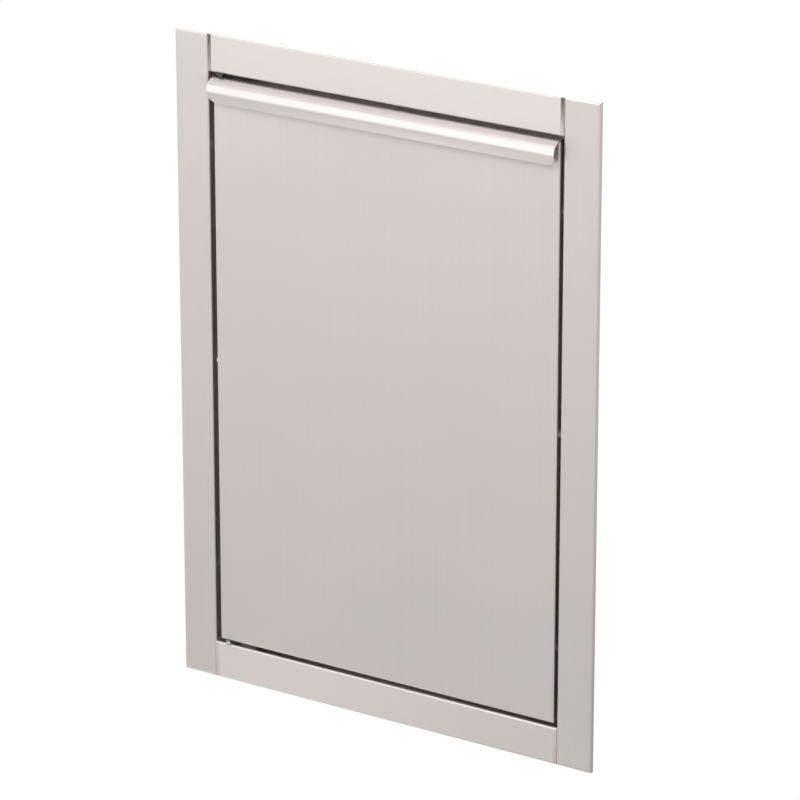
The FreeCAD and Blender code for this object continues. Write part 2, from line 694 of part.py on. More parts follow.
LOWER_JAMB = f"(-{OPEN_Z})"
keep(hinge_plate("lower_frame_plate", LOWER_JAMB, HOLE), "lower_frame_plate")
keep(hinge_plate("lower_door_plate", f"({DOOR_BOTTOM} - Dim.plate_sheet)", HOLE), "lower_door_plate")
UPPER_PLATE_Z = f"({OPEN_Z} - Dim.plate_sheet)"
screw_bore = "Dim.plate_screw + Dim.pin_play"
plain_plate = hinge_plate("upper_plate_blank", UPPER_PLATE_Z, screw_bore, "Dim.plate_tab")
sinks = []
for number in (0, 1):
    point = (plate_fastener_x(number), PLATE_MID_Y, UPPER_PLATE_Z)
    wide_end = "Dim.plate_screw_head + Dim.pin_play"
    sinks.append(taper(f"plate_sink{number}", wide_end, screw_bore, point, "Dim.plate_sheet"))
keep(remove("upper_frame_plate", plain_plate, sinks), "upper_frame_plate")

# Pivot pins, with a washer under the door and a bush on the handle's web
keep(
    rod("lower_pin", "Dim.pin_radius", (PIN_X, PIN_Y, LOWER_JAMB), "Dim.bottom_gap - Dim.washer_play"),
    "lower_pivot_pin",
)
pin_length = "Dim.top_gap + Dim.handle_sheet - Dim.washer_play"
keep(rod("upper_pin", "Dim.pin_radius", (PIN_X, PIN_Y, OPEN_Z), pin_length, "-Z"), "upper_pivot_pin")


def washer(label, low_z, height):
    outer = rod(f"{label}_outer", "Dim.plate_nose", (PIN_X, PIN_Y, low_z), height)
    bore = "Dim.pin_radius + Dim.pin_play"
    start = (PIN_X, PIN_Y, f"{low_z} - Dim.overcut")
    inner = rod(f"{label}_inner", bore, start, f"{height} + 2 * Dim.overcut")
    return keep(remove(f"{label}_ring", outer, [inner]), label)


play = "2 * Dim.washer_play"
washer_z = f"{LOWER_JAMB} + Dim.plate_sheet + Dim.washer_play"
washer("lower_washer", washer_z, f"Dim.bottom_gap - 2 * Dim.plate_sheet - {play}")
washer("upper_bush", f"{DOOR_TOP} + Dim.washer_play", f"Dim.top_gap - Dim.plate_sheet - {play}")


# Rivets: a shank that ends flush on one side and a head on the other
def rivet(name, start, grip, along, domed=False):
    shank = rod(f"{name}_shank", "Dim.rivet_radius", start, f"{grip} + Dim.rivet_dome / 2", along)
    axis = along[-1]
    sign = "-" if along[0] == "-" else "+"
    tip = list(start)
    place_index = "XYZ".index(axis)
    tip[place_index] = f"{start[place_index]} {sign} ({grip})"
    narrow = "Dim.rivet_radius" if domed else "Dim.rivet_head - Dim.rivet_bevel"
    head = taper(f"{name}_head", "Dim.rivet_head", narrow, tip, "Dim.rivet_dome", along)
    return join(name, [shank, head])


keep(
    group(
        "lower_plate_rivet_pair",
        [
            rivet(
                f"lower_plate_rivet{number}",
                (plate_fastener_x(number), PLATE_MID_Y, f"{LOWER_JAMB} + Dim.plate_sheet"),
                "Dim.plate_sheet + Dim.frame_sheet",
                "-Z",
            )
            for number in (0, 1)
        ],
    ),
    "lower_plate_rivets",
)
door_rivets = []
for number in (0, 1):
    start = (plate_fastener_x(number), PLATE_MID_Y, f"{DOOR_BOTTOM} - Dim.plate_sheet")
    door_rivets.append(rivet(f"door_plate_rivet{number}", start, "Dim.plate_sheet + Dim.door_sheet", "Z"))
keep(group("door_plate_rivet_pair", door_rivets), "door_plate_rivets")

handle_rivets = []
for number, x in enumerate(HANDLE_RIVETS):
    start = (x, HANDLE_RIVET_Y, DOOR_TOP)
    handle_rivets.append(rivet(f"handle_rivet{number}", start, "Dim.handle_sheet + Dim.door_sheet", "-Z"))
keep(group("handle_rivet_row", handle_rivets), "handle_rivets")

liner_rivets = []
liner_grip = "(Dim.door_sheet + Dim.liner_play + Dim.liner_sheet)"
for number, z in enumerate(LINER_RIVETS):
    start = (f"{DOOR_LEFT} + {liner_grip}", LINER_RIVET_Y, z)
    liner_rivets.append(rivet(f"left_rivet{number}", start, liner_grip, "-X", True))
    start = (f"{DOOR_RIGHT} - {liner_grip}", LINER_RIVET_Y, z)
    liner_rivets.append(rivet(f"right_rivet{number}", start, liner_grip, "X", True))
keep(group("liner_rivet_rows", liner_rivets), "liner_rivets")

# Screws and nuts of the removable upper plate
screws = []
nuts = []
for number in (0, 1):
    point = (plate_fastener_x(number), PLATE_MID_Y, UPPER_PLATE_Z)
    shank_length = "Dim.plate_sheet + Dim.frame_sheet + Dim.nut_height + Dim.screw_tail"
    shank = rod(f"plate_screw_shank{number}", "Dim.plate_screw", point, shank_length)
    radii = ("Dim.plate_screw_head", "Dim.plate_screw")
    head = taper(f"plate_screw_head{number}", *radii, point, "Dim.plate_sheet")
    screws.append(join(f"plate_screw{number}", [shank, head]))
    prism = doc.addObject("Part::Prism", f"plate_nut_blank{number}")
    prism.Polygon = 6
    bind(prism, Circumradius="Dim.nut_radius", Height="Dim.nut_height")
    nut_z = f"{OPEN_Z} + Dim.frame_sheet"
    place(prism, point[0], point[1], nut_z)
    through = f"{shank_length} + Dim.overcut"
    bore = rod(f"plate_nut_bore{number}", screw_bore, point, through)
    nuts.append(remove(f"plate_nut{number}", prism, [bore]))
keep(group("plate_screw_pair", screws), "upper_plate_screws")
keep(group("plate_nut_pair", nuts), "upper_plate_nuts")


# Magnetic catches: a nylon body behind the stop lip, a magnet and two poles that reach
# through the lip's window to the strike plate on the door
def catch(word, end):
    level = f"({end} * {CATCH_Z})"
    half_body = "Dim.catch_body / 2"
    body = doc.addObject("PartDesign::Body", f"{word}_catch_housing")
    ears = sketch_on(body, "XZ_Plane", f"-{STOP_BACK}")
    half_width = "Dim.catch_width / 2"
    ear_end = f"({half_body} + Dim.ear_length)"
    rectangle(
        ears,
        (f"{CATCH_X} - {half_width}", f"{level} - {ear_end}"),
        (f"{CATCH_X} + {half_width}", f"{level} + {ear_end}"),
    )
    pad(body, ears, "Dim.ear_depth", backwards=True)
    block = sketch_on(body, "XZ_Plane", f"-{STOP_BACK}")
    rectangle(
        block,
        (f"{CATCH_X} - {half_width}", f"{level} - {half_body}"),
        (f"{CATCH_X} + {half_width}", f"{level} + {half_body}"),
    )
    pad(body, block, "Dim.catch_depth", backwards=True)
    cavity = sketch_on(body, "XZ_Plane", f"-{STOP_BACK}")
    half_cavity = f"({half_width} - Dim.catch_wall)"
    tall_cavity = f"({half_body} - Dim.catch_wall)"
    rectangle(
        cavity,
        (f"{CATCH_X} - {half_cavity}", f"{level} - {tall_cavity}"),
        (f"{CATCH_X} + {half_cavity}", f"{level} + {tall_cavity}"),
    )
    pocket(body, cavity, "Dim.magnet_depth + Dim.magnet_play")
    holes = sketch_on(body, "XZ_Plane", f"-{STOP_BACK}")
    for ear in (-1, 1):
        spread = f"{level} + {ear} * (Dim.catch_body + Dim.ear_length) / 2"
        ring(holes, CATCH_X, spread, "Dim.catch_screw_radius + Dim.pin_play")
    pocket(body, holes)
    keep(body, f"{word}_catch_housing")
    tall = f"({tall_cavity} - Dim.magnet_play)"
    outer = f"({half_cavity} - Dim.magnet_play)"
    inner = f"({outer} - Dim.pole_sheet)"
    back = f"{STOP_BACK} + Dim.magnet_depth"
    magnet = box(
        f"{word}_magnet",
        (f"{CATCH_X} - {inner}", STOP_BACK, f"{level} - {tall}"),
        (f"{CATCH_X} + {inner}", back, f"{level} + {tall}"),
    )
    keep(magnet, f"{word}_catch_magnet")
    tip = f"{STRIKE_BACK} + Dim.pole_reach"
    poles = []
    for number, (first, second) in enumerate(((f"-{outer}", f"-{inner}"), (inner, outer))):
        low = (f"{CATCH_X} + {first}", tip, f"{level} - {tall}")
        high = (f"{CATCH_X} + {second}", back, f"{level} + {tall}")
        poles.append(box(f"{word}_pole{number}", low, high))
    keep(group(f"{word}_pole_pair", poles), f"{word}_catch_poles")
    screws = []
    for ear in (-1, 1):
        spread = f"{level} + {ear} * (Dim.catch_body + Dim.ear_length) / 2"
        start = (CATCH_X, STOP, spread)
        grip = "Dim.frame_sheet + Dim.ear_depth"
        shank = rod(f"{word}_screw_shank{ear + 1}", "Dim.catch_screw_radius", start, grip, "Y")
        seat = (CATCH_X, f"{STOP} + {grip}", spread)
        radii = ("Dim.catch_screw_head", "Dim.catch_screw_top")
        head = taper(f"{word}_screw_head{ear + 1}", *radii, seat, "Dim.catch_head_height", "Y")
        screws.append(join(f"{word}_catch_screw{ear + 1}", [shank, head]))
    return screws


catch_screws = catch("upper", 1) + catch("lower", -1)
keep(group("catch_screw_set", catch_screws), "catch_screws")

# Strike plates of magnetic steel, riveted to the liner
strike_rivets = []
for word, end in (("upper", 1), ("lower", -1)):
    level = f"({end} * {CATCH_Z})"
    blank = box(
        f"{word}_strike_blank",
        (f"{CATCH_X} - Dim.catch_width / 2", DOOR_BACK, f"{level} - Dim.strike_height / 2"),
        (f"{CATCH_X} + Dim.catch_width / 2", STRIKE_BACK, f"{level} + Dim.strike_height / 2"),
    )
    holes = []
    for number, half in enumerate((-0.5, 0.5)):
        spread = f"{level} + {half} * Dim.strike_rivet_spread"
        before = (CATCH_X, f"{DOOR_BACK} - Dim.overcut", spread)
        through = "Dim.strike_sheet + 2 * Dim.overcut"
        holes.append(rod(f"{word}_strike_hole{number}", HOLE, before, through, "Y"))
        grip = "Dim.strike_sheet + Dim.liner_sheet"
        start = (CATCH_X, STRIKE_BACK, spread)
        strike_rivets.append(rivet(f"{word}_strike_rivet{number}", start, grip, "-Y"))
    keep(remove(f"{word}_strike", blank, holes), f"{word}_strike_plate")
keep(group("strike_rivet_set", strike_rivets), "strike_rivets")


# Rubber bumpers: a domed button in front of the stop lip, a stem and a retaining bead behind
def bumper(word, end):
    body = doc.addObject("PartDesign::Body", f"{word}_bumper")
    profile = sketch_on(body, "XY_Plane")
    face = f"({DOOR_BACK} + Dim.bumper_play)"
    bead = f"({STOP_BACK} + Dim.bumper_stem)"
    outline(
        profile,
        [
            ("0", face),
            ("Dim.bumper_radius - Dim.bumper_bevel", face),
            ("Dim.bumper_radius", f"{face} + Dim.bumper_bevel"),
            ("Dim.bumper_radius", STOP),
            ("Dim.bumper_stem", STOP),
            ("Dim.bumper_stem", STOP_BACK),
            ("Dim.bumper_stem + Dim.bumper_bead", STOP_BACK),
            ("Dim.bumper_stem", bead),
            ("0", bead),
        ],
    )
    axis = [item for item in body.Origin.OriginFeatures if item.Role == "Y_Axis"][0]
    turned = body.newObject("PartDesign::Revolution", f"{word}_bumper_turned")
    turned.Profile = profile
    turned.ReferenceAxis = (axis, [""])
    turned.Angle = 360
    place(body, CATCH_X, "0", f"{end} * {BUMPER_Z}")
    keep(body, f"{word}_bumper")


bumper("upper", 1)
bumper("lower", -1)

# Everything is built, tested and written out
doc.recompute()
for item in doc.Objects:
    if "Invalid" in item.State or "Error" in item.State:
        raise RuntimeError(f"{item.Label} failed: {item.State}")
os.makedirs("parts", exist_ok=True)
for item in parts:
    shape = item.Shape
    if shape.isNull() or not shape.isValid() or not shape.Solids:
        raise RuntimeError(f"{item.Label} has no valid solid")
    shape.exportStep(f"parts/{item.Label}.step")
    print(f"{item.Label}: {len(shape.Solids)} solids, {shape.Volume:.1f} mm3")
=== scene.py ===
import math

import bmesh
import bpy
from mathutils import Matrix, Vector


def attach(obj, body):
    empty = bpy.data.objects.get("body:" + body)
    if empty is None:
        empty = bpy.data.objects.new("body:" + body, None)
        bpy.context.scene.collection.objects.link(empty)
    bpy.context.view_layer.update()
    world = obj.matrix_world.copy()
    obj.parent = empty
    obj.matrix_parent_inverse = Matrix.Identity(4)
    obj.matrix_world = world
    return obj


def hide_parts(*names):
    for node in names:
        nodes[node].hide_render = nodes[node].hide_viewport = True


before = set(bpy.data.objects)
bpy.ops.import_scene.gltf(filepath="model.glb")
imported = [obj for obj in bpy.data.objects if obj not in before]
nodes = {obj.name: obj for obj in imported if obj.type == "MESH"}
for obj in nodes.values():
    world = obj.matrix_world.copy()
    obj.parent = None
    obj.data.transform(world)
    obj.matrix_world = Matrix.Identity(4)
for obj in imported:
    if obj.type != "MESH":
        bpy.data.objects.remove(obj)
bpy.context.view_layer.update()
scene = bpy.context.scene
scene.view_settings.view_transform = "Standard"


# Camera. It looks from the right and from above, at the height of a standing person, through
# a long lens, so that the frame's verticals stay almost upright.
AZIMUTH = math.radians(32.73)
ELEVATION = math.radians(20.16)
DISTANCE = 4.157
SENSOR_MM = 36
FOCUS_PIXELS = 4769
FRAME_PIXELS = 800
FARTHEST = 50
TARGET = Vector((0.0184, -0.0045, 0.0037))

camera = bpy.data.objects.new("camera", bpy.data.cameras.new("camera"))
camera.data.sensor_width = SENSOR_MM
camera.data.lens = FOCUS_PIXELS / FRAME_PIXELS * SENSOR_MM
camera.data.clip_end = FARTHEST
back = Vector(
    (
        math.sin(AZIMUTH) * math.cos(ELEVATION),
        -math.cos(AZIMUTH) * math.cos(ELEVATION),
        math.sin(ELEVATION),
    )
)
camera.location = TARGET + DISTANCE * back
camera.rotation_euler = back.to_track_quat("Z", "Y").to_euler()
scene.collection.objects.link(camera)
scene.camera = camera


# Floor and surround. A plain white floor lies well below the part, which hangs in a wall. To
# the eye floor and sky are white. Steel mirrors them a little greyer, and the near floor darker
# still: a painted shadow of the part, seen only in reflections.
FLOOR_DEPTH = 1.1
FLOOR_SIZE = 30
FLOOR_WHITE = 0.85
SHADE_NEAR = 1.0
SHADE_FAR = 4.5
SHADE_LEVEL = 0.45
MIRRORED_LEVEL = 0.85
SURROUND_LIGHT = 0.76


def feed(tree, value, socket):
    """Gives a socket a fixed value or another node's output."""
    if isinstance(value, bpy.types.NodeSocket):
        tree.links.new(value, socket)
    else:
        socket.default_value = value


def reckon(tree, operation, *values):
    """Adds one sum to a node tree, from numbers or from other nodes' outputs."""
    step = tree.nodes.new("ShaderNodeMath")
    step.operation = operation
    for value, socket in zip(values, step.inputs):
        feed(tree, value, socket)
    return step.outputs[0]


def ramp(tree, value, start, end, low=0.0, high=1.0, curve="LINEAR"):
    """Turns the range from start to end into low to high, and holds its ends."""
    step = tree.nodes.new("ShaderNodeMapRange")
    step.interpolation_type = curve
    for number, socket in zip((value, start, end, low, high), step.inputs):
        feed(tree, number, socket)
    return step.outputs[0]


def stretched(tree, vector, factor):
    """Multiplies a place or a colour, part by part."""
    scaled = tree.nodes.new("ShaderNodeVectorMath")
    scaled.operation = "MULTIPLY"
    tree.links.new(vector, scaled.inputs[0])
    feed(tree, factor, scaled.inputs[1])
    return scaled.outputs[0]


def mirrored_or_seen(tree):
    """Gives 1 where the surface is seen in steel or glass and 1 where the camera sees it."""
    path = tree.nodes.new("ShaderNodeLightPath").outputs
    mirrored = reckon(tree, "MAXIMUM", path["Is Glossy Ray"], path["Is Transmission Ray"])
    return mirrored, path["Is Camera Ray"]


floor_mesh = bpy.data.meshes.new("floor")
half = FLOOR_SIZE / 2
floor_corners = [(-half, -half), (half, -half), (half, half), (-half, half)]
floor_mesh.from_pydata([(x, y, -FLOOR_DEPTH) for x, y in floor_corners], [], [(0, 1, 2, 3)])
floor = bpy.data.objects.new("floor", floor_mesh)
scene.collection.objects.link(floor)

floor_look = bpy.data.materials.new("floor_white")
floor_look.use_nodes = True
tree = floor_look.node_tree
tree.nodes.clear()
output = tree.nodes.new("ShaderNodeOutputMaterial")
mix = tree.nodes.new("ShaderNodeMixShader")
matt = tree.nodes.new("ShaderNodeBsdfDiffuse")
matt.inputs["Color"].default_value = (FLOOR_WHITE, FLOOR_WHITE, FLOOR_WHITE, 1)
glow = tree.nodes.new("ShaderNodeEmission")
mirrored, seen = mirrored_or_seen(tree)
place = tree.nodes.new("ShaderNodeTexCoord").outputs["Object"]
away = tree.nodes.new("ShaderNodeVectorMath")
away.operation = "LENGTH"
tree.links.new(stretched(tree, place, (1, 1, 0)), away.inputs[0])
# Painted shadow: the floor's reflection is greyer near the part
shade = ramp(
    tree,
    away.outputs["Value"],
    SHADE_NEAR,
    SHADE_FAR,
    low=SHADE_LEVEL,
    high=MIRRORED_LEVEL,
    curve="SMOOTHSTEP",
)
tree.links.new(reckon(tree, "MAXIMUM", seen, shade), glow.inputs["Strength"])
tree.links.new(reckon(tree, "MAXIMUM", mirrored, seen), mix.inputs[0])
tree.links.new(matt.outputs[0], mix.inputs[1])
tree.links.new(glow.outputs[0], mix.inputs[2])
tree.links.new(mix.outputs[0], output.inputs["Surface"])
floor_mesh.materials.append(floor_look)

world = bpy.data.worlds.new("surround")
world.use_nodes = True
scene.world = world
sky = world.node_tree
background = sky.nodes["Background"]
background.inputs["Color"].default_value = (1, 1, 1, 1)
mirrored, seen = mirrored_or_seen(sky)
level = ramp(sky, mirrored, 0, 1, low=SURROUND_LIGHT, high=MIRRORED_LEVEL)
sky.links.new(reckon(sky, "MAXIMUM", seen, level), background.inputs["Strength"])


# Lamps. Soft panels: three in front at the left, which the steel mirrors towards the camera,
# a broad one in front above, one behind for the handle's web and a low one for its curl.
def panel(name, place, size, power):
    lamp = bpy.data.lights.new(name, "AREA")
    lamp.shape = "RECTANGLE"
    lamp.size, lamp.size_y = size
    lamp.energy = power
    thing = bpy.data.objects.new(name, lamp)
    thing.location = place
    thing.rotation_euler = Vector(place).to_track_quat("Z", "Y").to_euler()
    scene.collection.objects.link(thing)


panel("front_left", place=(-0.95, -1.6, 0.25), size=(1.0, 0.5), power=1.6)
panel("front_left_high", place=(-0.95, -1.6, 0.75), size=(1.0, 0.5), power=1.8)
panel("front", place=(-0.45, -1.7, 0.35), size=(0.8, 0.5), power=0.8)
panel("front_above", place=(0.25, -1.6, 1.55), size=(1.0, 0.8), power=34)
panel("overhead_back", place=(-0.7, 0.9, 1.5), size=(1.6, 1.0), power=21)
panel("low_left", place=(-0.8, -0.45, -1.03), size=(0.9, 0.35), power=1.1)


# Stiles and rails. Four lengths of folded stainless sheet, brushed before folding, so the
# grain runs upright on the stiles and lengthwise on the rails. The rails are welded between.
FINE_LINES = 2600
LONG_LINES = 9
UPRIGHT = (FINE_LINES, FINE_LINES, LONG_LINES)
ALONG = (LONG_LINES, FINE_LINES, FINE_LINES)
STEEL = (0.66, 0.61, 0.59)
SATIN = 0.36
BRUSHED = 0.5
SCATTER = 0.7
GRAIN_CONTRAST = 0.012
FACE_Y = -0.0045
BEND_START = FACE_Y + 0.0004
BEND_END = FACE_Y + 0.0016


def new_group(name, inputs, outputs):
    """Starts a shader group that several finishes share."""
    group = bpy.data.node_groups.new(name, "ShaderNodeTree")
    for label, kind in inputs:
        group.interface.new_socket(label, in_out="INPUT", socket_type=kind)
    for label, kind in outputs:
        group.interface.new_socket(label, in_out="OUTPUT", socket_type=kind)
    return group, group.nodes.new("NodeGroupInput"), group.nodes.new("NodeGroupOutput")


def noise(tree, vector, detail, roughness):
    """Adds a noise with one blot to each unit of the vector."""
    pattern = tree.nodes.new("ShaderNodeTexNoise")
    pattern.inputs["Scale"].default_value = 1
    pattern.inputs["Detail"].default_value = detail
    pattern.inputs["Roughness"].default_value = roughness
    tree.links.new(vector, pattern.inputs["Vector"])
    return pattern.outputs[0]


def blend_colour(tree, share, first, second):
    """Goes from the first colour to the second by a share of 0 to 1."""
    mixed = tree.nodes.new("ShaderNodeMix")
    mixed.data_type = "RGBA"
    tree.links.new(share, mixed.inputs[0])
    tree.links.new(first, mixed.inputs[6])
    tree.links.new(second, mixed.inputs[7])
    return mixed.outputs[2]


# The grain: fine lines over broader ones, counted by the metre along each axis
BROAD = 0.17
FINE_SHARE = 0.6
BROAD_SHARE = 0.4
DARKEST = 0.36
LIGHTEST = 0.64
grain, grain_in, grain_out = new_group(
    "brushed_grain",
    [
        ("Lines", "NodeSocketVector"),
        ("Dark", "NodeSocketColor"),
        ("Light", "NodeSocketColor"),
        ("Roughness", "NodeSocketFloat"),
        ("Roughness Spread", "NodeSocketFloat"),
    ],
    [("Color", "NodeSocketColor"), ("Roughness", "NodeSocketFloat"), ("Height", "NodeSocketFloat")],
)
where = grain.nodes.new("ShaderNodeTexCoord").outputs["Object"]
lined = stretched(grain, where, grain_in.outputs["Lines"])
fine = noise(grain, lined, detail=3, roughness=0.6)
broad = noise(grain, stretched(grain, lined, (BROAD, BROAD, BROAD)), detail=2, roughness=0.5)
broad_part = reckon(grain, "MULTIPLY", broad, BROAD_SHARE)
both = reckon(grain, "MULTIPLY_ADD", fine, FINE_SHARE, broad_part)
line = ramp(grain, both, DARKEST, LIGHTEST)
tone = blend_colour(grain, line, grain_in.outputs["Dark"], grain_in.outputs["Light"])
grain.links.new(tone, grain_out.inputs["Color"])
off_mean = reckon(grain, "SUBTRACT", line, 0.5)
change = reckon(grain, "MULTIPLY", off_mean, grain_in.outputs["Roughness Spread"])
rough = reckon(grain, "SUBTRACT", grain_in.outputs["Roughness"], change)
grain.links.new(rough, grain_out.inputs["Roughness"])
grain.links.new(line, grain_out.inputs["Height"])

# The handling: faint clouds where the sheet was rolled, washed and wiped
clouds, clouds_in, clouds_out = new_group(
    "wiped_clouds",
    [
        ("Color", "NodeSocketColor"),
        ("Roughness", "NodeSocketFloat"),
        ("Clouds", "NodeSocketVector"),
        ("Tone Change", "NodeSocketFloat"),
        ("Roughness Change", "NodeSocketFloat"),
    ],
    [("Color", "NodeSocketColor"), ("Roughness", "NodeSocketFloat")],
)
cloudy = clouds_in.outputs
where = clouds.nodes.new("ShaderNodeTexCoord").outputs["Object"]
cloud = noise(clouds, stretched(clouds, where, cloudy["Clouds"]), detail=3, roughness=0.55)
swing = reckon(clouds, "MULTIPLY", reckon(clouds, "SUBTRACT", cloud, 0.5), 2)
share = reckon(clouds, "MULTIPLY_ADD", swing, cloudy["Tone Change"], 1)
toned = stretched(clouds, cloudy["Color"], share)
clouds.links.new(toned, clouds_out.inputs["Color"])
rough = reckon(clouds, "MULTIPLY_ADD", swing, cloudy["Roughness Change"], cloudy["Roughness"])
clouds.links.new(rough, clouds_out.inputs["Roughness"])


def place_group(tree, group, values):
    """Places a shared group in a finish with that finish's own values."""
    step = tree.nodes.new("ShaderNodeGroup")
    step.node_tree = group
    for label, value in values.items():
        feed(tree, value, step.inputs[label])
    return step.outputs


def shade_of(colour, share):
    return (colour[0] * share, colour[1] * share, colour[2] * share, 1)


def finish(name, colour, lines, contrast, roughness, spread, clouding, marks, relief, depth):
    """A material of lines or speckle, clouds and a shallow relief, with its shader."""
    look = bpy.data.materials.new(name)
    look.use_nodes = True
    tree = look.node_tree
    shader = tree.nodes["Principled BSDF"]
    lined = place_group(
        tree,
        grain,
        {
            "Lines": lines,
            "Dark": shade_of(colour, 1 - contrast),
            "Light": shade_of(colour, 1 + contrast),
            "Roughness": roughness,
            "Roughness Spread": spread,
        },
    )
    wiped = place_group(
        tree,
        clouds,
        {
            "Color": lined["Color"],
            "Roughness": lined["Roughness"],
            "Clouds": clouding,
            "Tone Change": marks,
            "Roughness Change": marks,
        },
    )
    tree.links.new(wiped["Color"], shader.inputs["Base Color"])
    tree.links.new(wiped["Roughness"], shader.inputs["Roughness"])
    bump = tree.nodes.new("ShaderNodeBump")
    bump.inputs["Strength"].default_value = relief
    bump.inputs["Distance"].default_value = depth
    tree.links.new(lined["Height"], bump.inputs["Height"])
    tree.links.new(bump.outputs[0], shader.inputs["Normal"])
    return look, shader


def metal(name, colour, lines, contrast, roughness, clouding=(6, 6, 6), marks=0.03, metallic=1):
    """A bare or plated metal."""
    look, shader = finish(
        name,
        colour,
        lines,
        contrast,
        roughness,
        spread=0.08,
        clouding=clouding,
        marks=marks,
        relief=0.1,
        depth=0.00004,
    )
    shader.inputs["Metallic"].default_value = metallic
    return look


def dress(look, *names):
    """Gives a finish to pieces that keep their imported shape."""
    for name in names:
        thing = nodes[name]
        thing.data.materials.clear()
        thing.data.materials.append(look)


def place_in(tree):
    """Reads where a point of the piece lies, as X, Y and Z."""
    where = tree.nodes.new("ShaderNodeSeparateXYZ")
    tree.links.new(tree.nodes.new("ShaderNodeTexCoord").outputs["Object"], where.inputs[0])
    return where.outputs


def brushed_steel(name, lines, turn=0):
    """Satin stainless: long scratches that spread the light across them and scatter a share.
    Behind the face the sheet scatters nothing, which paints shade into the gaps round the door and
    the handle."""
    look = metal(name, STEEL, lines, GRAIN_CONTRAST, SATIN, metallic=SCATTER)
    tree = look.node_tree
    shader = tree.nodes["Principled BSDF"]
    shader.inputs["Anisotropic"].default_value = BRUSHED
    shader.inputs["Anisotropic Rotation"].default_value = turn
    # Painted shade: behind the face the sheet loses its scattered share, so the gaps come out dark
    gap_shade_metallic = ramp(tree, place_in(tree)["Y"], BEND_START, BEND_END, low=SCATTER)
    tree.links.new(gap_shade_metallic, shader.inputs["Metallic"])
    return look


stile_steel = brushed_steel("stile_steel", UPRIGHT)
rail_steel = brushed_steel("rail_steel", ALONG, turn=0.25)

# The ground welds at the rails' ends: a dull strip on the face, partly the weld's own finish
# and partly painted shade of the groove between rail and stile, deepest at the frame's outer
# edge and on the top rail, and reaching further in on the left
SEAM_START = 0.1774
SEAM_END = 0.1779
SEAM_INNER = 0.27
SEAM_OUTER = 0.3
SEAM_FRONT = FACE_Y + 0.0002
SEAM_BACK = FACE_Y + 0.0006
SEAM_TONE = 0.22
SEAM_ROUGHER = 0.2
SEAM_ABOVE = 1
SEAM_BELOW = 0.25
SEAM_LEFT = 0.5
SEAM_RIGHT = 0.15
MIDWAY = 0.1
tree = rail_steel.node_tree
shader = tree.nodes["Principled BSDF"]
plain_colour = shader.inputs["Base Color"].links[0].from_socket
plain_rough = shader.inputs["Roughness"].links[0].from_socket
where = place_in(tree)
out_x = reckon(tree, "ABSOLUTE", where["X"])
out_z = reckon(tree, "ABSOLUTE", where["Z"])
seam = ramp(tree, out_x, SEAM_START, SEAM_END, curve="SMOOTHSTEP")
inner = ramp(tree, where["X"], -MIDWAY, MIDWAY, low=SEAM_LEFT, high=SEAM_RIGHT)
outward = ramp(tree, out_z, SEAM_INNER, SEAM_OUTER, low=inner)
upper = ramp(tree, where["Z"], -MIDWAY, MIDWAY, low=SEAM_BELOW, high=SEAM_ABOVE)
flush = ramp(tree, where["Y"], SEAM_FRONT, SEAM_BACK, low=1, high=0)
share = reckon(tree, "MULTIPLY", reckon(tree, "MULTIPLY", outward, upper), flush)
# Partly painted shade: the strip darkens the seam's groove, most on the top rail and the left
weld_and_shade = reckon(tree, "MULTIPLY", seam, share)
dull_and_shaded = stretched(tree, plain_colour, (SEAM_TONE, SEAM_TONE, SEAM_TONE))
tree.links.new(blend_colour(tree, weld_and_shade, plain_colour, dull_and_shaded), shader.inputs["Base Color"])
rougher = reckon(tree, "MULTIPLY_ADD", weld_and_shade, SEAM_ROUGHER, plain_rough)
tree.links.new(rougher, shader.inputs["Roughness"])
dress(stile_steel, "frame_stile_left", "frame_stile_right")
dress(rail_steel, "frame_rail_top", "frame_rail_bottom")


# Corner brackets. Angles of mill-finish stainless round the outside of the jambs, each leg's
# end welded down with one short bead, and tinted straw and blue by the weld's heat.
MILL_STEEL = (0.5, 0.475, 0.465)
SPECKLE = (900, 900, 900)
HEAT_TINTS = [
    (0.0, (0.16, 0.17, 0.22)),
    (0.3, (0.2, 0.13, 0.16)),
    (0.6, (0.42, 0.31, 0.16)),
    (1.0, MILL_STEEL),
]
TINT_REACH = 0.005
TINT_STRENGTH = 0.8
JAMB_X = 0.1822
JAMB_Z = 0.2711
LEG = 0.015
BEAD = 0.0009
BEAD_OFFSET = BEAD / 3
BEAD_FRONT = 0.0036
BEAD_BACK = 0.0154
BEAD_STEP = 0.0008
RIPPLE_LEAST = 0.85
RIPPLE_MOST = 1.1
RIPPLE_SEED = 11

mill_steel = metal(
    "mill_steel",
    MILL_STEEL,
    SPECKLE,
    contrast=0.05,
    roughness=0.42,
    clouding=(40, 40, 40),
    marks=0.06,
)
welded_steel = mill_steel.copy()
welded_steel.name = "welded_steel"
tree = welded_steel.node_tree
shader = tree.nodes["Principled BSDF"]
plain_colour = shader.inputs["Base Color"].links[0].from_socket
where = place_in(tree)
out_x = reckon(tree, "ABSOLUTE", where["X"])
out_z = reckon(tree, "ABSOLUTE", where["Z"])
from_upright = reckon(tree, "ABSOLUTE", reckon(tree, "SUBTRACT", out_z, JAMB_Z - LEG))
from_level = reckon(tree, "ABSOLUTE", reckon(tree, "SUBTRACT", out_x, JAMB_X - LEG))
from_bead = reckon(tree, "MINIMUM", from_upright, from_level)
heat = tree.nodes.new("ShaderNodeValToRGB")
for position, colour in HEAT_TINTS[1:-1]:
    heat.color_ramp.elements.new(position)
for tint, (position, colour) in zip(heat.color_ramp.elements, HEAT_TINTS):
    tint.position = position
    tint.color = (*colour, 1)
reach = reckon(tree, "DIVIDE", from_bead, TINT_REACH)
tree.links.new(reach, heat.inputs[0])
fading = reckon(tree, "SUBTRACT", 1, reckon(tree, "MINIMUM", 1, reach))
strength = reckon(tree, "MULTIPLY", fading, TINT_STRENGTH)
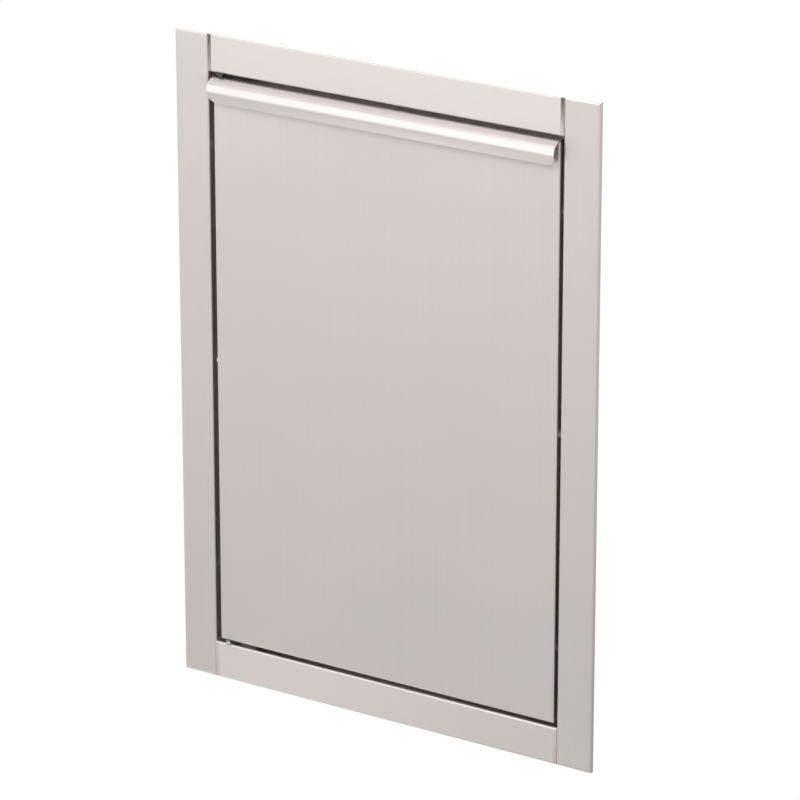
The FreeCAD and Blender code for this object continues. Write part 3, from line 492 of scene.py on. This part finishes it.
tinted = blend_colour(tree, strength, plain_colour, heat.outputs[0])
tree.links.new(tinted, shader.inputs["Base Color"])
dress(
    welded_steel,
    "corner_bracket_top_left",
    "corner_bracket_top_right",
    "corner_bracket_bottom_left",
    "corner_bracket_bottom_right",
)


def new_form(name, sizes):
    """Starts a tree that makes a form from points, with named sizes and a finish."""
    form = bpy.data.node_groups.new(name, "GeometryNodeTree")
    form.interface.new_socket("Geometry", in_out="INPUT", socket_type="NodeSocketGeometry")
    for label in sizes:
        form.interface.new_socket(label, in_out="INPUT", socket_type="NodeSocketFloat")
    form.interface.new_socket("Finish", in_out="INPUT", socket_type="NodeSocketMaterial")
    form.interface.new_socket("Geometry", in_out="OUTPUT", socket_type="NodeSocketGeometry")
    return form, form.nodes.new("NodeGroupInput"), form.nodes.new("NodeGroupOutput")


def finish_form(form, form_in, form_out, geometry):
    """Closes a tree: real meshes instead of instances, smooth, with the finish."""
    real = form.nodes.new("GeometryNodeRealizeInstances")
    smooth = form.nodes.new("GeometryNodeSetShadeSmooth")
    coat = form.nodes.new("GeometryNodeSetMaterial")
    form.links.new(geometry, real.inputs[0])
    form.links.new(real.outputs[0], smooth.inputs[0])
    form.links.new(smooth.outputs[0], coat.inputs["Geometry"])
    form.links.new(form_in.outputs["Finish"], coat.inputs["Material"])
    form.links.new(coat.outputs[0], form_out.inputs[0])


def bake(thing, crease=35):
    """Turns a piece's modifiers into a plain mesh with its hard edges kept."""
    graph = bpy.context.evaluated_depsgraph_get()
    plain = bpy.data.meshes.new_from_object(thing.evaluated_get(graph))
    thing.modifiers.clear()
    thing.data = plain
    plain.set_sharp_from_angle(angle=math.radians(crease))


def grow(name, form, sizes, look, points, edges=(), axes=(), after=()):
    """Makes a plain piece from a tree, its sizes, its finish and the points that it stands on."""
    seeds = bpy.data.meshes.new(f"{name}_seeds")
    seeds.from_pydata(points, edges, [])
    if axes:
        axis = seeds.attributes.new("axis", "FLOAT_VECTOR", "POINT")
        axis.data.foreach_set("vector", [number for each in axes for number in each])
    thing = bpy.data.objects.new(name, seeds)
    scene.collection.objects.link(thing)
    maker = thing.modifiers.new("form", "NODES")
    maker.node_group = form
    values = {**sizes, "Finish": look}
    for item in form.interface.items_tree:
        if item.in_out == "INPUT" and item.name in values:
            maker[item.identifier] = values[item.name]
    for kind, settings in after:
        finisher = thing.modifiers.new(kind.lower(), kind)
        for label, value in settings.items():
            setattr(finisher, label, value)
    bake(thing)
    return thing


# A weld bead: ripples of melted metal, one after the other along each line
bead, bead_in, bead_out = new_form("weld_bead", ["Radius", "Step"])
along = bead.nodes.new("GeometryNodeMeshToCurve")
bead.links.new(bead_in.outputs["Geometry"], along.inputs[0])
spots = bead.nodes.new("GeometryNodeCurveToPoints")
spots.mode = "LENGTH"
bead.links.new(along.outputs[0], spots.inputs["Curve"])
bead.links.new(bead_in.outputs["Step"], spots.inputs["Length"])
drop = bead.nodes.new("GeometryNodeMeshIcoSphere")
drop.inputs["Subdivisions"].default_value = 2
bead.links.new(bead_in.outputs["Radius"], drop.inputs["Radius"])
uneven = bead.nodes.new("FunctionNodeRandomValue")
uneven.data_type = "FLOAT"
uneven.inputs[2].default_value = RIPPLE_LEAST
uneven.inputs[3].default_value = RIPPLE_MOST
uneven.inputs["Seed"].default_value = RIPPLE_SEED
ripples = bead.nodes.new("GeometryNodeInstanceOnPoints")
bead.links.new(spots.outputs["Points"], ripples.inputs["Points"])
bead.links.new(drop.outputs["Mesh"], ripples.inputs["Instance"])
bead.links.new(spots.outputs["Rotation"], ripples.inputs["Rotation"])
bead.links.new(uneven.outputs[1], ripples.inputs["Scale"])
finish_form(bead, bead_in, bead_out, ripples.outputs[0])

beads = [
    (JAMB_X + BEAD_OFFSET, JAMB_Z - LEG - BEAD_OFFSET),
    (JAMB_X - LEG - BEAD_OFFSET, JAMB_Z + BEAD_OFFSET),
]
weld_points = []
weld_edges = []
for side in (-1, 1):
    for end in (-1, 1):
        for x, z in beads:
            weld_edges.append((len(weld_points), len(weld_points) + 1))
            weld_points.append((side * x, BEAD_FRONT, end * z))
            weld_points.append((side * x, BEAD_BACK, end * z))
weld_steel = metal("weld_steel", (0.36, 0.33, 0.31), SPECKLE, contrast=0.08, roughness=0.45)
bead_sizes = {"Radius": BEAD, "Step": BEAD_STEP}
welds = grow("bracket_welds", bead, bead_sizes, weld_steel, weld_points, edges=weld_edges)
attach(welds, "frame")


# Hinges. Thick stainless plates above and below the door, each round a turned pin. The lower
# pair turns on a nylon washer and is riveted; the upper plate is screwed on, so that the door
# can be lifted off, and a nylon bush fills the gap over the handle.
NATURAL_NYLON = (0.8, 0.78, 0.72)
SHADE_DARK_NYLON = (0.032, 0.032, 0.034)
SHADE_BLACK = (0.12, 0.115, 0.115)
TURNED = (0.62, 0.59, 0.58)
TURNING_LINES = (60, 60, 4200)
PLATE_X = (-0.1625, -0.1485)
PLATE_Y = 0.0085
OPEN_Z = 0.2699
PLATE = 0.0013
SHEET = 0.0012
RIVET = {"head_radius": 0.0022, "head_height": 0.0008, "shank_radius": 0.00125}


def moulded(name, colour, roughness, lustre=0.5, speckle=1400, relief=0.15):
    """A moulded plastic or rubber: a fine sparked skin and slight flow clouds."""
    look, shader = finish(
        name,
        colour,
        (speckle, speckle, speckle),
        contrast=0.08,
        roughness=roughness,
        spread=0.1,
        clouding=(60, 60, 60),
        marks=0.06,
        relief=relief,
        depth=0.00008,
    )
    shader.inputs["Specular IOR Level"].default_value = lustre
    return look


dress(mill_steel, "lower_frame_plate", "lower_door_plate")
# Painted shade: the upper plate and the upper bush are dark, standing in for the shade under the
# top rail
upper_shade_steel = metal(
    "shade_dark_steel",
    SHADE_BLACK,
    SPECKLE,
    contrast=0.08,
    roughness=0.5,
    clouding=(40, 40, 40),
    marks=0.06,
)
dress(upper_shade_steel, "upper_frame_plate")
turned_steel = metal("turned_steel", TURNED, TURNING_LINES, contrast=0.04, roughness=0.24)
dress(turned_steel, "lower_pivot_pin", "upper_pivot_pin")
dress(moulded("natural_nylon", NATURAL_NYLON, roughness=0.5), "lower_washer")
dress(moulded("shade_dark_nylon", SHADE_DARK_NYLON, roughness=0.55), "upper_bush")

# A turned fastener: a domed or flat head with a bore or a cross recess, and a plain or
# threaded shank, spun round each point's own axis
FASTENER_SIZES = [
    "Head Radius",
    "Head Height",
    "Fullness",
    "Bore Radius",
    "Bore Depth",
    "Cone Depth",
    "Shank Radius",
    "Shank Length",
    "Thread Depth",
    "Thread Pitch",
    "Cross Length",
    "Cross Width",
    "Cross Depth",
]
SIDES = 24
HEAD_ROWS = 8
SHANK_ROWS = 28
FIRST_BORE_ROW = 1
FIRST_HEAD_ROW = 2
FIRST_SHANK_ROW = FIRST_HEAD_ROW + HEAD_ROWS
LAST_ROW = FIRST_SHANK_ROW + SHANK_ROWS
TOUCHING = 1e-6
TIGHTENING_SEED = 5
turned, turned_in, turned_out = new_form("turned_fastener", FASTENER_SIZES)
size = turned_in.outputs
blank = turned.nodes.new("GeometryNodeMeshGrid")
blank.inputs["Size X"].default_value = 1
blank.inputs["Size Y"].default_value = 1
blank.inputs["Vertices X"].default_value = SIDES + 1
blank.inputs["Vertices Y"].default_value = LAST_ROW + 1
spot = turned.nodes.new("ShaderNodeSeparateXYZ")
turned.links.new(turned.nodes.new("GeometryNodeInputPosition").outputs[0], spot.inputs[0])
angle = reckon(turned, "MULTIPLY", spot.outputs["X"], math.tau)
from_top = reckon(turned, "ADD", spot.outputs["Y"], 0.5)
row = reckon(turned, "ROUND", reckon(turned, "MULTIPLY", from_top, LAST_ROW))
head_row = reckon(turned, "SUBTRACT", row, FIRST_HEAD_ROW)
head_share = reckon(turned, "DIVIDE", head_row, HEAD_ROWS - 1)
swell = reckon(turned, "SINE", reckon(turned, "MULTIPLY", head_share, math.pi / 2))
rim = reckon(turned, "SUBTRACT", size["Head Radius"], size["Bore Radius"])
head_radius = reckon(turned, "MULTIPLY_ADD", rim, swell, size["Bore Radius"])


def dome_height(radius):
    """Height of the head at a radius; a fuller head stays flat nearly to its rim."""
    fraction = reckon(turned, "MINIMUM", 1, reckon(turned, "DIVIDE", radius, size["Head Radius"]))
    left = reckon(turned, "SUBTRACT", 1, reckon(turned, "POWER", fraction, size["Fullness"]))
    root = reckon(turned, "POWER", left, reckon(turned, "DIVIDE", 1, size["Fullness"]))
    return reckon(turned, "MULTIPLY", root, size["Head Height"])


head_z = dome_height(head_radius)
bore_z = reckon(turned, "SUBTRACT", dome_height(size["Bore Radius"]), size["Bore Depth"])
shank_row = reckon(turned, "SUBTRACT", row, FIRST_SHANK_ROW)
shank_share = reckon(turned, "DIVIDE", shank_row, SHANK_ROWS - 1)
shank_run = reckon(turned, "SUBTRACT", size["Shank Length"], size["Cone Depth"])
shank_depth = reckon(turned, "MULTIPLY_ADD", shank_run, shank_share, size["Cone Depth"])
half_pitch = reckon(turned, "MULTIPLY", size["Thread Pitch"], 0.5)
groove = reckon(turned, "DIVIDE", reckon(turned, "PINGPONG", shank_depth, half_pitch), half_pitch)
cut = reckon(turned, "MULTIPLY", groove, size["Thread Depth"])
shank_radius = reckon(turned, "SUBTRACT", size["Shank Radius"], cut)
shank_z = reckon(turned, "MULTIPLY", shank_depth, -1)
kind = 0
for first_row in (FIRST_BORE_ROW, FIRST_HEAD_ROW, FIRST_SHANK_ROW, LAST_ROW):
    reached = reckon(turned, "GREATER_THAN", row, first_row - 0.5)
    kind = reckon(turned, "ADD", kind, reached)


def by_index(form, index, values, data_type="FLOAT"):
    """Picks one of several values by a number that is counted from 0."""
    choice = form.nodes.new("GeometryNodeIndexSwitch")
    choice.data_type = data_type
    while len(choice.index_switch_items) < len(values):
        choice.index_switch_items.new()
    form.links.new(index, choice.inputs["Index"])
    for value, socket in zip(values, list(choice.inputs)[1:]):
        feed(form, value, socket)
    return choice.outputs[0]


radius = by_index(turned, kind, [0.0, size["Bore Radius"], head_radius, shank_radius, 0.0])
end_z = reckon(turned, "MULTIPLY", size["Shank Length"], -1)
height = by_index(turned, kind, [bore_z, bore_z, head_z, shank_z, end_z])


def at(form, x, y, z):
    """Joins three numbers to a place."""
    joined = form.nodes.new("ShaderNodeCombineXYZ")
    for value, socket in zip((x, y, z), joined.inputs):
        feed(form, value, socket)
    return joined.outputs[0]


def moved(form, geometry, place):
    shift = form.nodes.new("GeometryNodeSetPosition")
    form.links.new(geometry, shift.inputs["Geometry"])
    form.links.new(place, shift.inputs["Position"])
    return shift.outputs[0]


round_x = reckon(turned, "MULTIPLY", radius, reckon(turned, "COSINE", angle))
round_y = reckon(turned, "MULTIPLY", radius, reckon(turned, "SINE", angle))
spun = moved(turned, blank.outputs["Mesh"], at(turned, round_x, round_y, height))
closed = turned.nodes.new("GeometryNodeMergeByDistance")
closed.inputs["Distance"].default_value = TOUCHING
turned.links.new(spun, closed.inputs["Geometry"])
faced_out = turned.nodes.new("GeometryNodeFlipFaces")
turned.links.new(closed.outputs[0], faced_out.inputs[0])
recess = turned.nodes.new("GeometryNodeMeshBoolean")
recess.operation = "DIFFERENCE"
recess.solver = "EXACT"
turned.links.new(faced_out.outputs[0], recess.inputs["Mesh 1"])
length, width = size["Cross Length"], size["Cross Width"]
double_depth = reckon(turned, "MULTIPLY", size["Cross Depth"], 2)
for bar_x, bar_y in ((length, width), (width, length)):
    bar = turned.nodes.new("GeometryNodeMeshCube")
    turned.links.new(at(turned, bar_x, bar_y, double_depth), bar.inputs["Size"])
    lifted = turned.nodes.new("GeometryNodeTransform")
    turned.links.new(bar.outputs["Mesh"], lifted.inputs["Geometry"])
    turned.links.new(at(turned, 0, 0, size["Head Height"]), lifted.inputs["Translation"])
    turned.links.new(lifted.outputs[0], recess.inputs["Mesh 2"])
crossed = turned.nodes.new("GeometryNodeSwitch")
crossed.input_type = "GEOMETRY"
turned.links.new(reckon(turned, "GREATER_THAN", length, 0), crossed.inputs["Switch"])
turned.links.new(faced_out.outputs[0], crossed.inputs["False"])
turned.links.new(recess.outputs[0], crossed.inputs["True"])
way = turned.nodes.new("GeometryNodeInputNamedAttribute")
way.data_type = "FLOAT_VECTOR"
way.inputs["Name"].default_value = "axis"
tightened = turned.nodes.new("FunctionNodeRandomValue")
tightened.data_type = "FLOAT"
tightened.inputs[3].default_value = math.tau
tightened.inputs["Seed"].default_value = TIGHTENING_SEED
started = turned.nodes.new("FunctionNodeEulerToRotation")
turned.links.new(at(turned, 0, 0, tightened.outputs[1]), started.inputs[0])
aligned = turned.nodes.new("FunctionNodeAlignRotationToVector")
aligned.axis = "Z"
turned.links.new(started.outputs[0], aligned.inputs["Rotation"])
turned.links.new(way.outputs["Attribute"], aligned.inputs["Vector"])
row_of = turned.nodes.new("GeometryNodeInstanceOnPoints")
turned.links.new(turned_in.outputs["Geometry"], row_of.inputs["Points"])
turned.links.new(crossed.outputs[0], row_of.inputs["Instance"])
turned.links.new(aligned.outputs[0], row_of.inputs["Rotation"])
finish_form(turned, turned_in, turned_out, row_of.outputs[0])


def fasteners(node, body, slot, look, places, **sizes):
    """Sets turned fasteners at their seats, with the axis that each head points along."""
    plain = {label: 0.0 for label in FASTENER_SIZES}
    plain.update({"Fullness": 2.0, "Thread Pitch": 0.0005})
    for label, value in sizes.items():
        plain[label.replace("_", " ").title()] = value
    points = [place for place, axis in places]
    axes = [axis for place, axis in places]
    thing = grow(f"{node}_turned", turned, plain, look, points, axes=axes)
    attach(thing, body)
    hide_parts(node)


rivet_steel = metal(
    "rivet_steel",
    (0.6, 0.575, 0.565),
    (2200, 2200, 2200),
    contrast=0.04,
    roughness=0.26,
    marks=0.05,
)
zinc = metal(
    "zinc_plating",
    (0.55, 0.56, 0.565),
    (1100, 1100, 1100),
    contrast=0.07,
    roughness=0.3,
    clouding=(90, 90, 90),
    marks=0.08,
)
fasteners(
    "lower_plate_rivets",
    "frame",
    "rivet_stainless",
    rivet_steel,
    [((x, PLATE_Y, -OPEN_Z - SHEET), (0, 0, -1)) for x in PLATE_X],
    shank_length=PLATE + SHEET,
    fullness=2.4,
    **RIVET,
)
fasteners(
    "upper_plate_screws",
    "frame",
    "zinc_steel",
    zinc,
    [((x, PLATE_Y, OPEN_Z - PLATE), (0, 0, -1)) for x in PLATE_X],
    head_radius=0.0028,
    head_height=0.00005,
    fullness=6.0,
    cone_depth=PLATE,
    shank_radius=0.0015,
    shank_length=0.0059,
    thread_depth=0.00022,
    cross_length=0.0026,
    cross_width=0.0006,
    cross_depth=0.0007,
)
dress(zinc, "upper_plate_nuts")


# Catches. Two nylon bodies screwed behind the stop lip, each with a ferrite magnet between two
# zinc-plated poles that reach through the lip to the door.
BLACK_NYLON = (0.06, 0.06, 0.063)
FERRITE = (0.09, 0.088, 0.09)
CATCH_X = 0.1692
CATCH_Z = 0.1699
EAR = 0.024
EAR_BACK = 0.0227
MOULD_EDGE = 0.0004
MOULD_STEPS = 3
FLAT = math.radians(2)
black_nylon = moulded("black_nylon", BLACK_NYLON, roughness=0.5)
for end in ("upper", "lower"):
    rounded = nodes[f"{end}_catch_housing"].copy()
    rounded.data = rounded.data.copy()
    rounded.name = f"{end}_catch_housing_moulded"
    scene.collection.objects.link(rounded)
    mould = bmesh.new()
    mould.from_mesh(rounded.data)
    bmesh.ops.remove_doubles(mould, verts=mould.verts, dist=TOUCHING)
    bmesh.ops.dissolve_limit(mould, angle_limit=FLAT, verts=mould.verts, edges=mould.edges)
    bmesh.ops.recalc_face_normals(mould, faces=mould.faces)
    mould.to_mesh(rounded.data)
    mould.free()
    edges = rounded.modifiers.new("edges", "BEVEL")
    edges.width = MOULD_EDGE
    edges.segments = MOULD_STEPS
    edges.limit_method = "ANGLE"
    bake(rounded)
    rounded.data.materials.clear()
    rounded.data.materials.append(black_nylon)
    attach(rounded, "frame")
    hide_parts(f"{end}_catch_housing")
ferrite = metal("ferrite", FERRITE, (1500, 1500, 1500), contrast=0.2, roughness=0.6, metallic=0.5)
dress(ferrite, "upper_catch_magnet", "lower_catch_magnet")
dress(zinc, "upper_catch_poles", "lower_catch_poles")
ears = [(end, ear) for end in (1, -1) for ear in (-1, 1)]
fasteners(
    "catch_screws",
    "frame",
    "zinc_steel",
    zinc,
    [((CATCH_X, EAR_BACK, end * CATCH_Z + ear * EAR), (0, 1, 0)) for end, ear in ears],
    head_radius=0.003,
    head_height=0.0015,
    fullness=2.3,
    shank_radius=0.0015,
    shank_length=0.0042,
    thread_depth=0.00022,
    cross_length=0.003,
    cross_width=0.0007,
    cross_depth=0.0009,
)


# Bumpers. Two buttons of soft black rubber, each moulded in one with its stem and pulled
# through a hole in the stop lip, just behind the closed door.
RUBBER = (0.022, 0.022, 0.022)
black_rubber = moulded(
    "black_rubber",
    RUBBER,
    roughness=0.75,
    lustre=0.3,
    speckle=1000,
    relief=0.25,
)
dress(black_rubber, "upper_bumper", "lower_bumper")


# Door. A folded pan of brushed stainless, closed at the back by a plain inner pan that is
# riveted through the sides; a hat section between them keeps the front flat.
LINER_STEEL = (0.54, 0.515, 0.505)
DOOR_LEFT = -0.1758
DOOR_RIGHT = 0.1776
DOOR_BOTTOM = -0.2662
SKIN_SHEET = 0.001
LINER_SHEET = 0.0008
LINER_GRIP = 0.00195
LINER_Y = 0.01315
LINER_RIVET_Z = (-0.1649, 0, 0.1649)
door_steel = brushed_steel("door_steel", UPRIGHT)
liner_steel = metal(
    "liner_steel",
    LINER_STEEL,
    UPRIGHT,
    contrast=0.03,
    roughness=0.4,
    clouding=(8, 8, 8),
    marks=0.05,
)
dress(door_steel, "door_skin")
dress(liner_steel, "door_liner")
dress(mill_steel, "door_stiffener")
door_sides = ((DOOR_LEFT, -1), (DOOR_RIGHT, 1))
fasteners(
    "liner_rivets",
    "door",
    "rivet_stainless",
    rivet_steel,
    [((x, LINER_Y, z), (side, 0, 0)) for x, side in door_sides for z in LINER_RIVET_Z],
    shank_length=LINER_GRIP,
    bore_radius=0.0006,
    bore_depth=0.0005,
    **RIVET,
)
fasteners(
    "door_plate_rivets",
    "door",
    "rivet_stainless",
    rivet_steel,
    [((x, PLATE_Y, DOOR_BOTTOM + SKIN_SHEET), (0, 0, 1)) for x in PLATE_X],
    shank_length=PLATE + SKIN_SHEET,
    **RIVET,
)


# Strike plates. Two strips of zinc-plated steel that the magnets hold, each fixed to the
# inner pan by two rivets from inside.
DOOR_BACK = 0.0155
STRIKE = 0.001
dress(zinc, "upper_strike_plate", "lower_strike_plate")
strike_ends = [(end, ear) for end in (-1, 1) for ear in (-1, 1)]
strike_seat = DOOR_BACK - LINER_SHEET
fasteners(
    "strike_rivets",
    "door",
    "rivet_stainless",
    rivet_steel,
    [((CATCH_X, strike_seat, end * CATCH_Z + ear * EAR), (0, -1, 0)) for end, ear in strike_ends],
    shank_length=STRIKE + LINER_SHEET,
    **RIVET,
)


# Handle. One brushed sheet along the door's top edge: a level web riveted on the door, bent
# down in front of it, a slanted face and a lip curled back under it, with rounded corners.
HANDLE = {
    "Left": DOOR_LEFT,
    "Right": DOOR_RIGHT,
    "Top": 0.266,
    "Back": 0.0095,
    "Front": FACE_Y,
    "Level": 0.0024,
    "Reach": 0.0092,
    "Slope": math.radians(26.5),
    "Face": 0.008,
    "Lean": math.radians(14.5),
    "Curl": 0.0105,
    "Turn": math.radians(22),
    "Break Radius": 0.0027,
    "Crest Radius": 0.004,
    "Nose Radius": 0.0067,
    "Corner": 0.009,
}
CORNER_REACH = 1.2
ROWS = 64
COLUMNS = 96
BEND_STEPS = 8
CUT_EDGE = 0.0002
CUT_STEPS = 2
folded, folded_in, folded_out = new_form("folded_handle", HANDLE)
size = folded_in.outputs


def across_and_down(length, angle):
    """How far a sloping length goes across and how far down."""
    shares = [reckon(folded, operation, angle) for operation in ("SINE", "COSINE")]
    return [reckon(folded, "MULTIPLY", length, share) for share in shares]


break_y = reckon(folded, "SUBTRACT", size["Front"], size["Level"])
crest_y = reckon(folded, "SUBTRACT", size["Front"], size["Reach"])
sloping = reckon(folded, "SUBTRACT", size["Reach"], size["Level"])
fall = reckon(folded, "MULTIPLY", sloping, reckon(folded, "TANGENT", size["Slope"]))
crest_z = reckon(folded, "SUBTRACT", size["Top"], fall)
face_across, face_down = across_and_down(size["Face"], size["Lean"])
nose_y = reckon(folded, "SUBTRACT", crest_y, face_across)
nose_z = reckon(folded, "SUBTRACT", crest_z, face_down)
curl_across, curl_down = across_and_down(size["Curl"], size["Turn"])
tip_y = reckon(folded, "ADD", nose_y, curl_across)
tip_z = reckon(folded, "SUBTRACT", nose_z, curl_down)
corners = [
    at(folded, 0, size["Back"], size["Top"]),
    at(folded, 0, break_y, size["Top"]),
    at(folded, 0, crest_y, crest_z),
    at(folded, 0, nose_y, nose_z),
    at(folded, 0, tip_y, tip_z),
]
strip = folded.nodes.new("GeometryNodeMeshLine")
strip.inputs["Count"].default_value = len(corners)
number = folded.nodes.new("GeometryNodeInputIndex").outputs[0]
sharp = moved(folded, strip.outputs["Mesh"], by_index(folded, number, corners, "VECTOR"))
section = folded.nodes.new("GeometryNodeMeshToCurve")
folded.links.new(sharp, section.inputs[0])
bent = folded.nodes.new("GeometryNodeFilletCurve")
bent.mode = "POLY"
bent.inputs["Count"].default_value = BEND_STEPS
folded.links.new(section.outputs[0], bent.inputs["Curve"])
radii = [0.0, size["Break Radius"], size["Crest Radius"], size["Nose Radius"], 0.0]
folded.links.new(by_index(folded, number, radii), bent.inputs["Radius"])
run = folded.nodes.new("GeometryNodeCurveLength")
folded.links.new(bent.outputs[0], run.inputs[0])
sheet = folded.nodes.new("GeometryNodeMeshGrid")
sheet.inputs["Size X"].default_value = 1
sheet.inputs["Size Y"].default_value = 1
sheet.inputs["Vertices X"].default_value = COLUMNS
sheet.inputs["Vertices Y"].default_value = ROWS
spot = folded.nodes.new("ShaderNodeSeparateXYZ")
folded.links.new(folded.nodes.new("GeometryNodeInputPosition").outputs[0], spot.inputs[0])
full_width = reckon(folded, "SUBTRACT", size["Right"], size["Left"])
half_width = reckon(folded, "MULTIPLY", full_width, 0.5)
middle = reckon(folded, "MULTIPLY", reckon(folded, "ADD", size["Right"], size["Left"]), 0.5)
across = reckon(folded, "SINE", reckon(folded, "MULTIPLY", spot.outputs["X"], math.pi))
sheet_x = reckon(folded, "MULTIPLY_ADD", across, half_width, middle)
end_share = reckon(folded, "SUBTRACT", 1, reckon(folded, "ABSOLUTE", across))
from_end = reckon(folded, "MULTIPLY", half_width, end_share)
near_end = reckon(folded, "MINIMUM", from_end, size["Corner"])
short = reckon(folded, "SUBTRACT", size["Corner"], near_end)
corner_squared = reckon(folded, "POWER", size["Corner"], 2)
square = reckon(folded, "SUBTRACT", corner_squared, reckon(folded, "POWER", short, 2))
root = reckon(folded, "SQRT", reckon(folded, "MAXIMUM", square, 0))
trim = reckon(folded, "SUBTRACT", size["Corner"], root)
from_back = reckon(folded, "ADD", spot.outputs["Y"], 0.5)
length_to = reckon(folded, "MULTIPLY", from_back, run.outputs[0])
lip_run = reckon(folded, "MULTIPLY", size["Corner"], CORNER_REACH)
lip_start = reckon(folded, "SUBTRACT", run.outputs[0], lip_run)
lip_share = reckon(folded, "DIVIDE", reckon(folded, "SUBTRACT", length_to, lip_start), lip_run)
trimmed = reckon(folded, "MULTIPLY", reckon(folded, "MAXIMUM", lip_share, 0), trim)
follow = folded.nodes.new("GeometryNodeSampleCurve")
follow.mode = "LENGTH"
folded.links.new(bent.outputs[0], follow.inputs["Curves"])
folded.links.new(reckon(folded, "SUBTRACT", length_to, trimmed), follow.inputs["Length"])
on_section = folded.nodes.new("ShaderNodeSeparateXYZ")
folded.links.new(follow.outputs["Position"], on_section.inputs[0])
placed = at(folded, sheet_x, on_section.outputs["Y"], on_section.outputs["Z"])
finish_form(folded, folded_in, folded_out, moved(folded, sheet.outputs["Mesh"], placed))

handle_steel = brushed_steel("handle_steel", ALONG, turn=0.25)
handle = grow(
    "handle_folded",
    folded,
    HANDLE,
    handle_steel,
    [(0, 0, 0)],
    after=[
        ("SOLIDIFY", {"thickness": SHEET, "offset": 1, "use_even_offset": True}),
        ("BEVEL", {"width": CUT_EDGE, "segments": CUT_STEPS, "limit_method": "ANGLE"}),
    ],
)
# The hollow of the curl, where the sheet is not brushed; its dark colour is painted shade
HOLLOW_SHADE_STEEL = (0.2, 0.19, 0.186)
HOLLOW_Y = -0.0085
HOLLOW_Z = 0.2535
FACING = 0.5
hollow_shade_steel = metal(
    "handle_hollow_shade_steel",
    HOLLOW_SHADE_STEEL,
    SPECKLE,
    contrast=0.04,
    roughness=SATIN,
    clouding=(30, 30, 30),
    marks=0.05,
)
handle.data.materials.append(hollow_shade_steel)
for face in handle.data.polygons:
    inward_y = HOLLOW_Y - face.center.y
    inward_z = HOLLOW_Z - face.center.z
    inward = face.normal.y * inward_y + face.normal.z * inward_z
    if inward > FACING * math.hypot(inward_y, inward_z):
        face.material_index = 1
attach(handle, "door")
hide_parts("handle")

WEB_RIVET_X = (-0.0778, 0.000333, 0.078467, 0.1566)
WEB_RIVET_Y = 0.0035
WEB_UNDERSIDE = 0.2638
WEB_GRIP = 0.00225
fasteners(
    "handle_rivets",
    "door",
    "rivet_stainless",
    rivet_steel,
    [((x, WEB_RIVET_Y, WEB_UNDERSIDE), (0, 0, -1)) for x in WEB_RIVET_X],
    shank_length=WEB_GRIP,
    **RIVET,
)


def plain(box):
    return [[float(x) for x in corner] for corner in box]
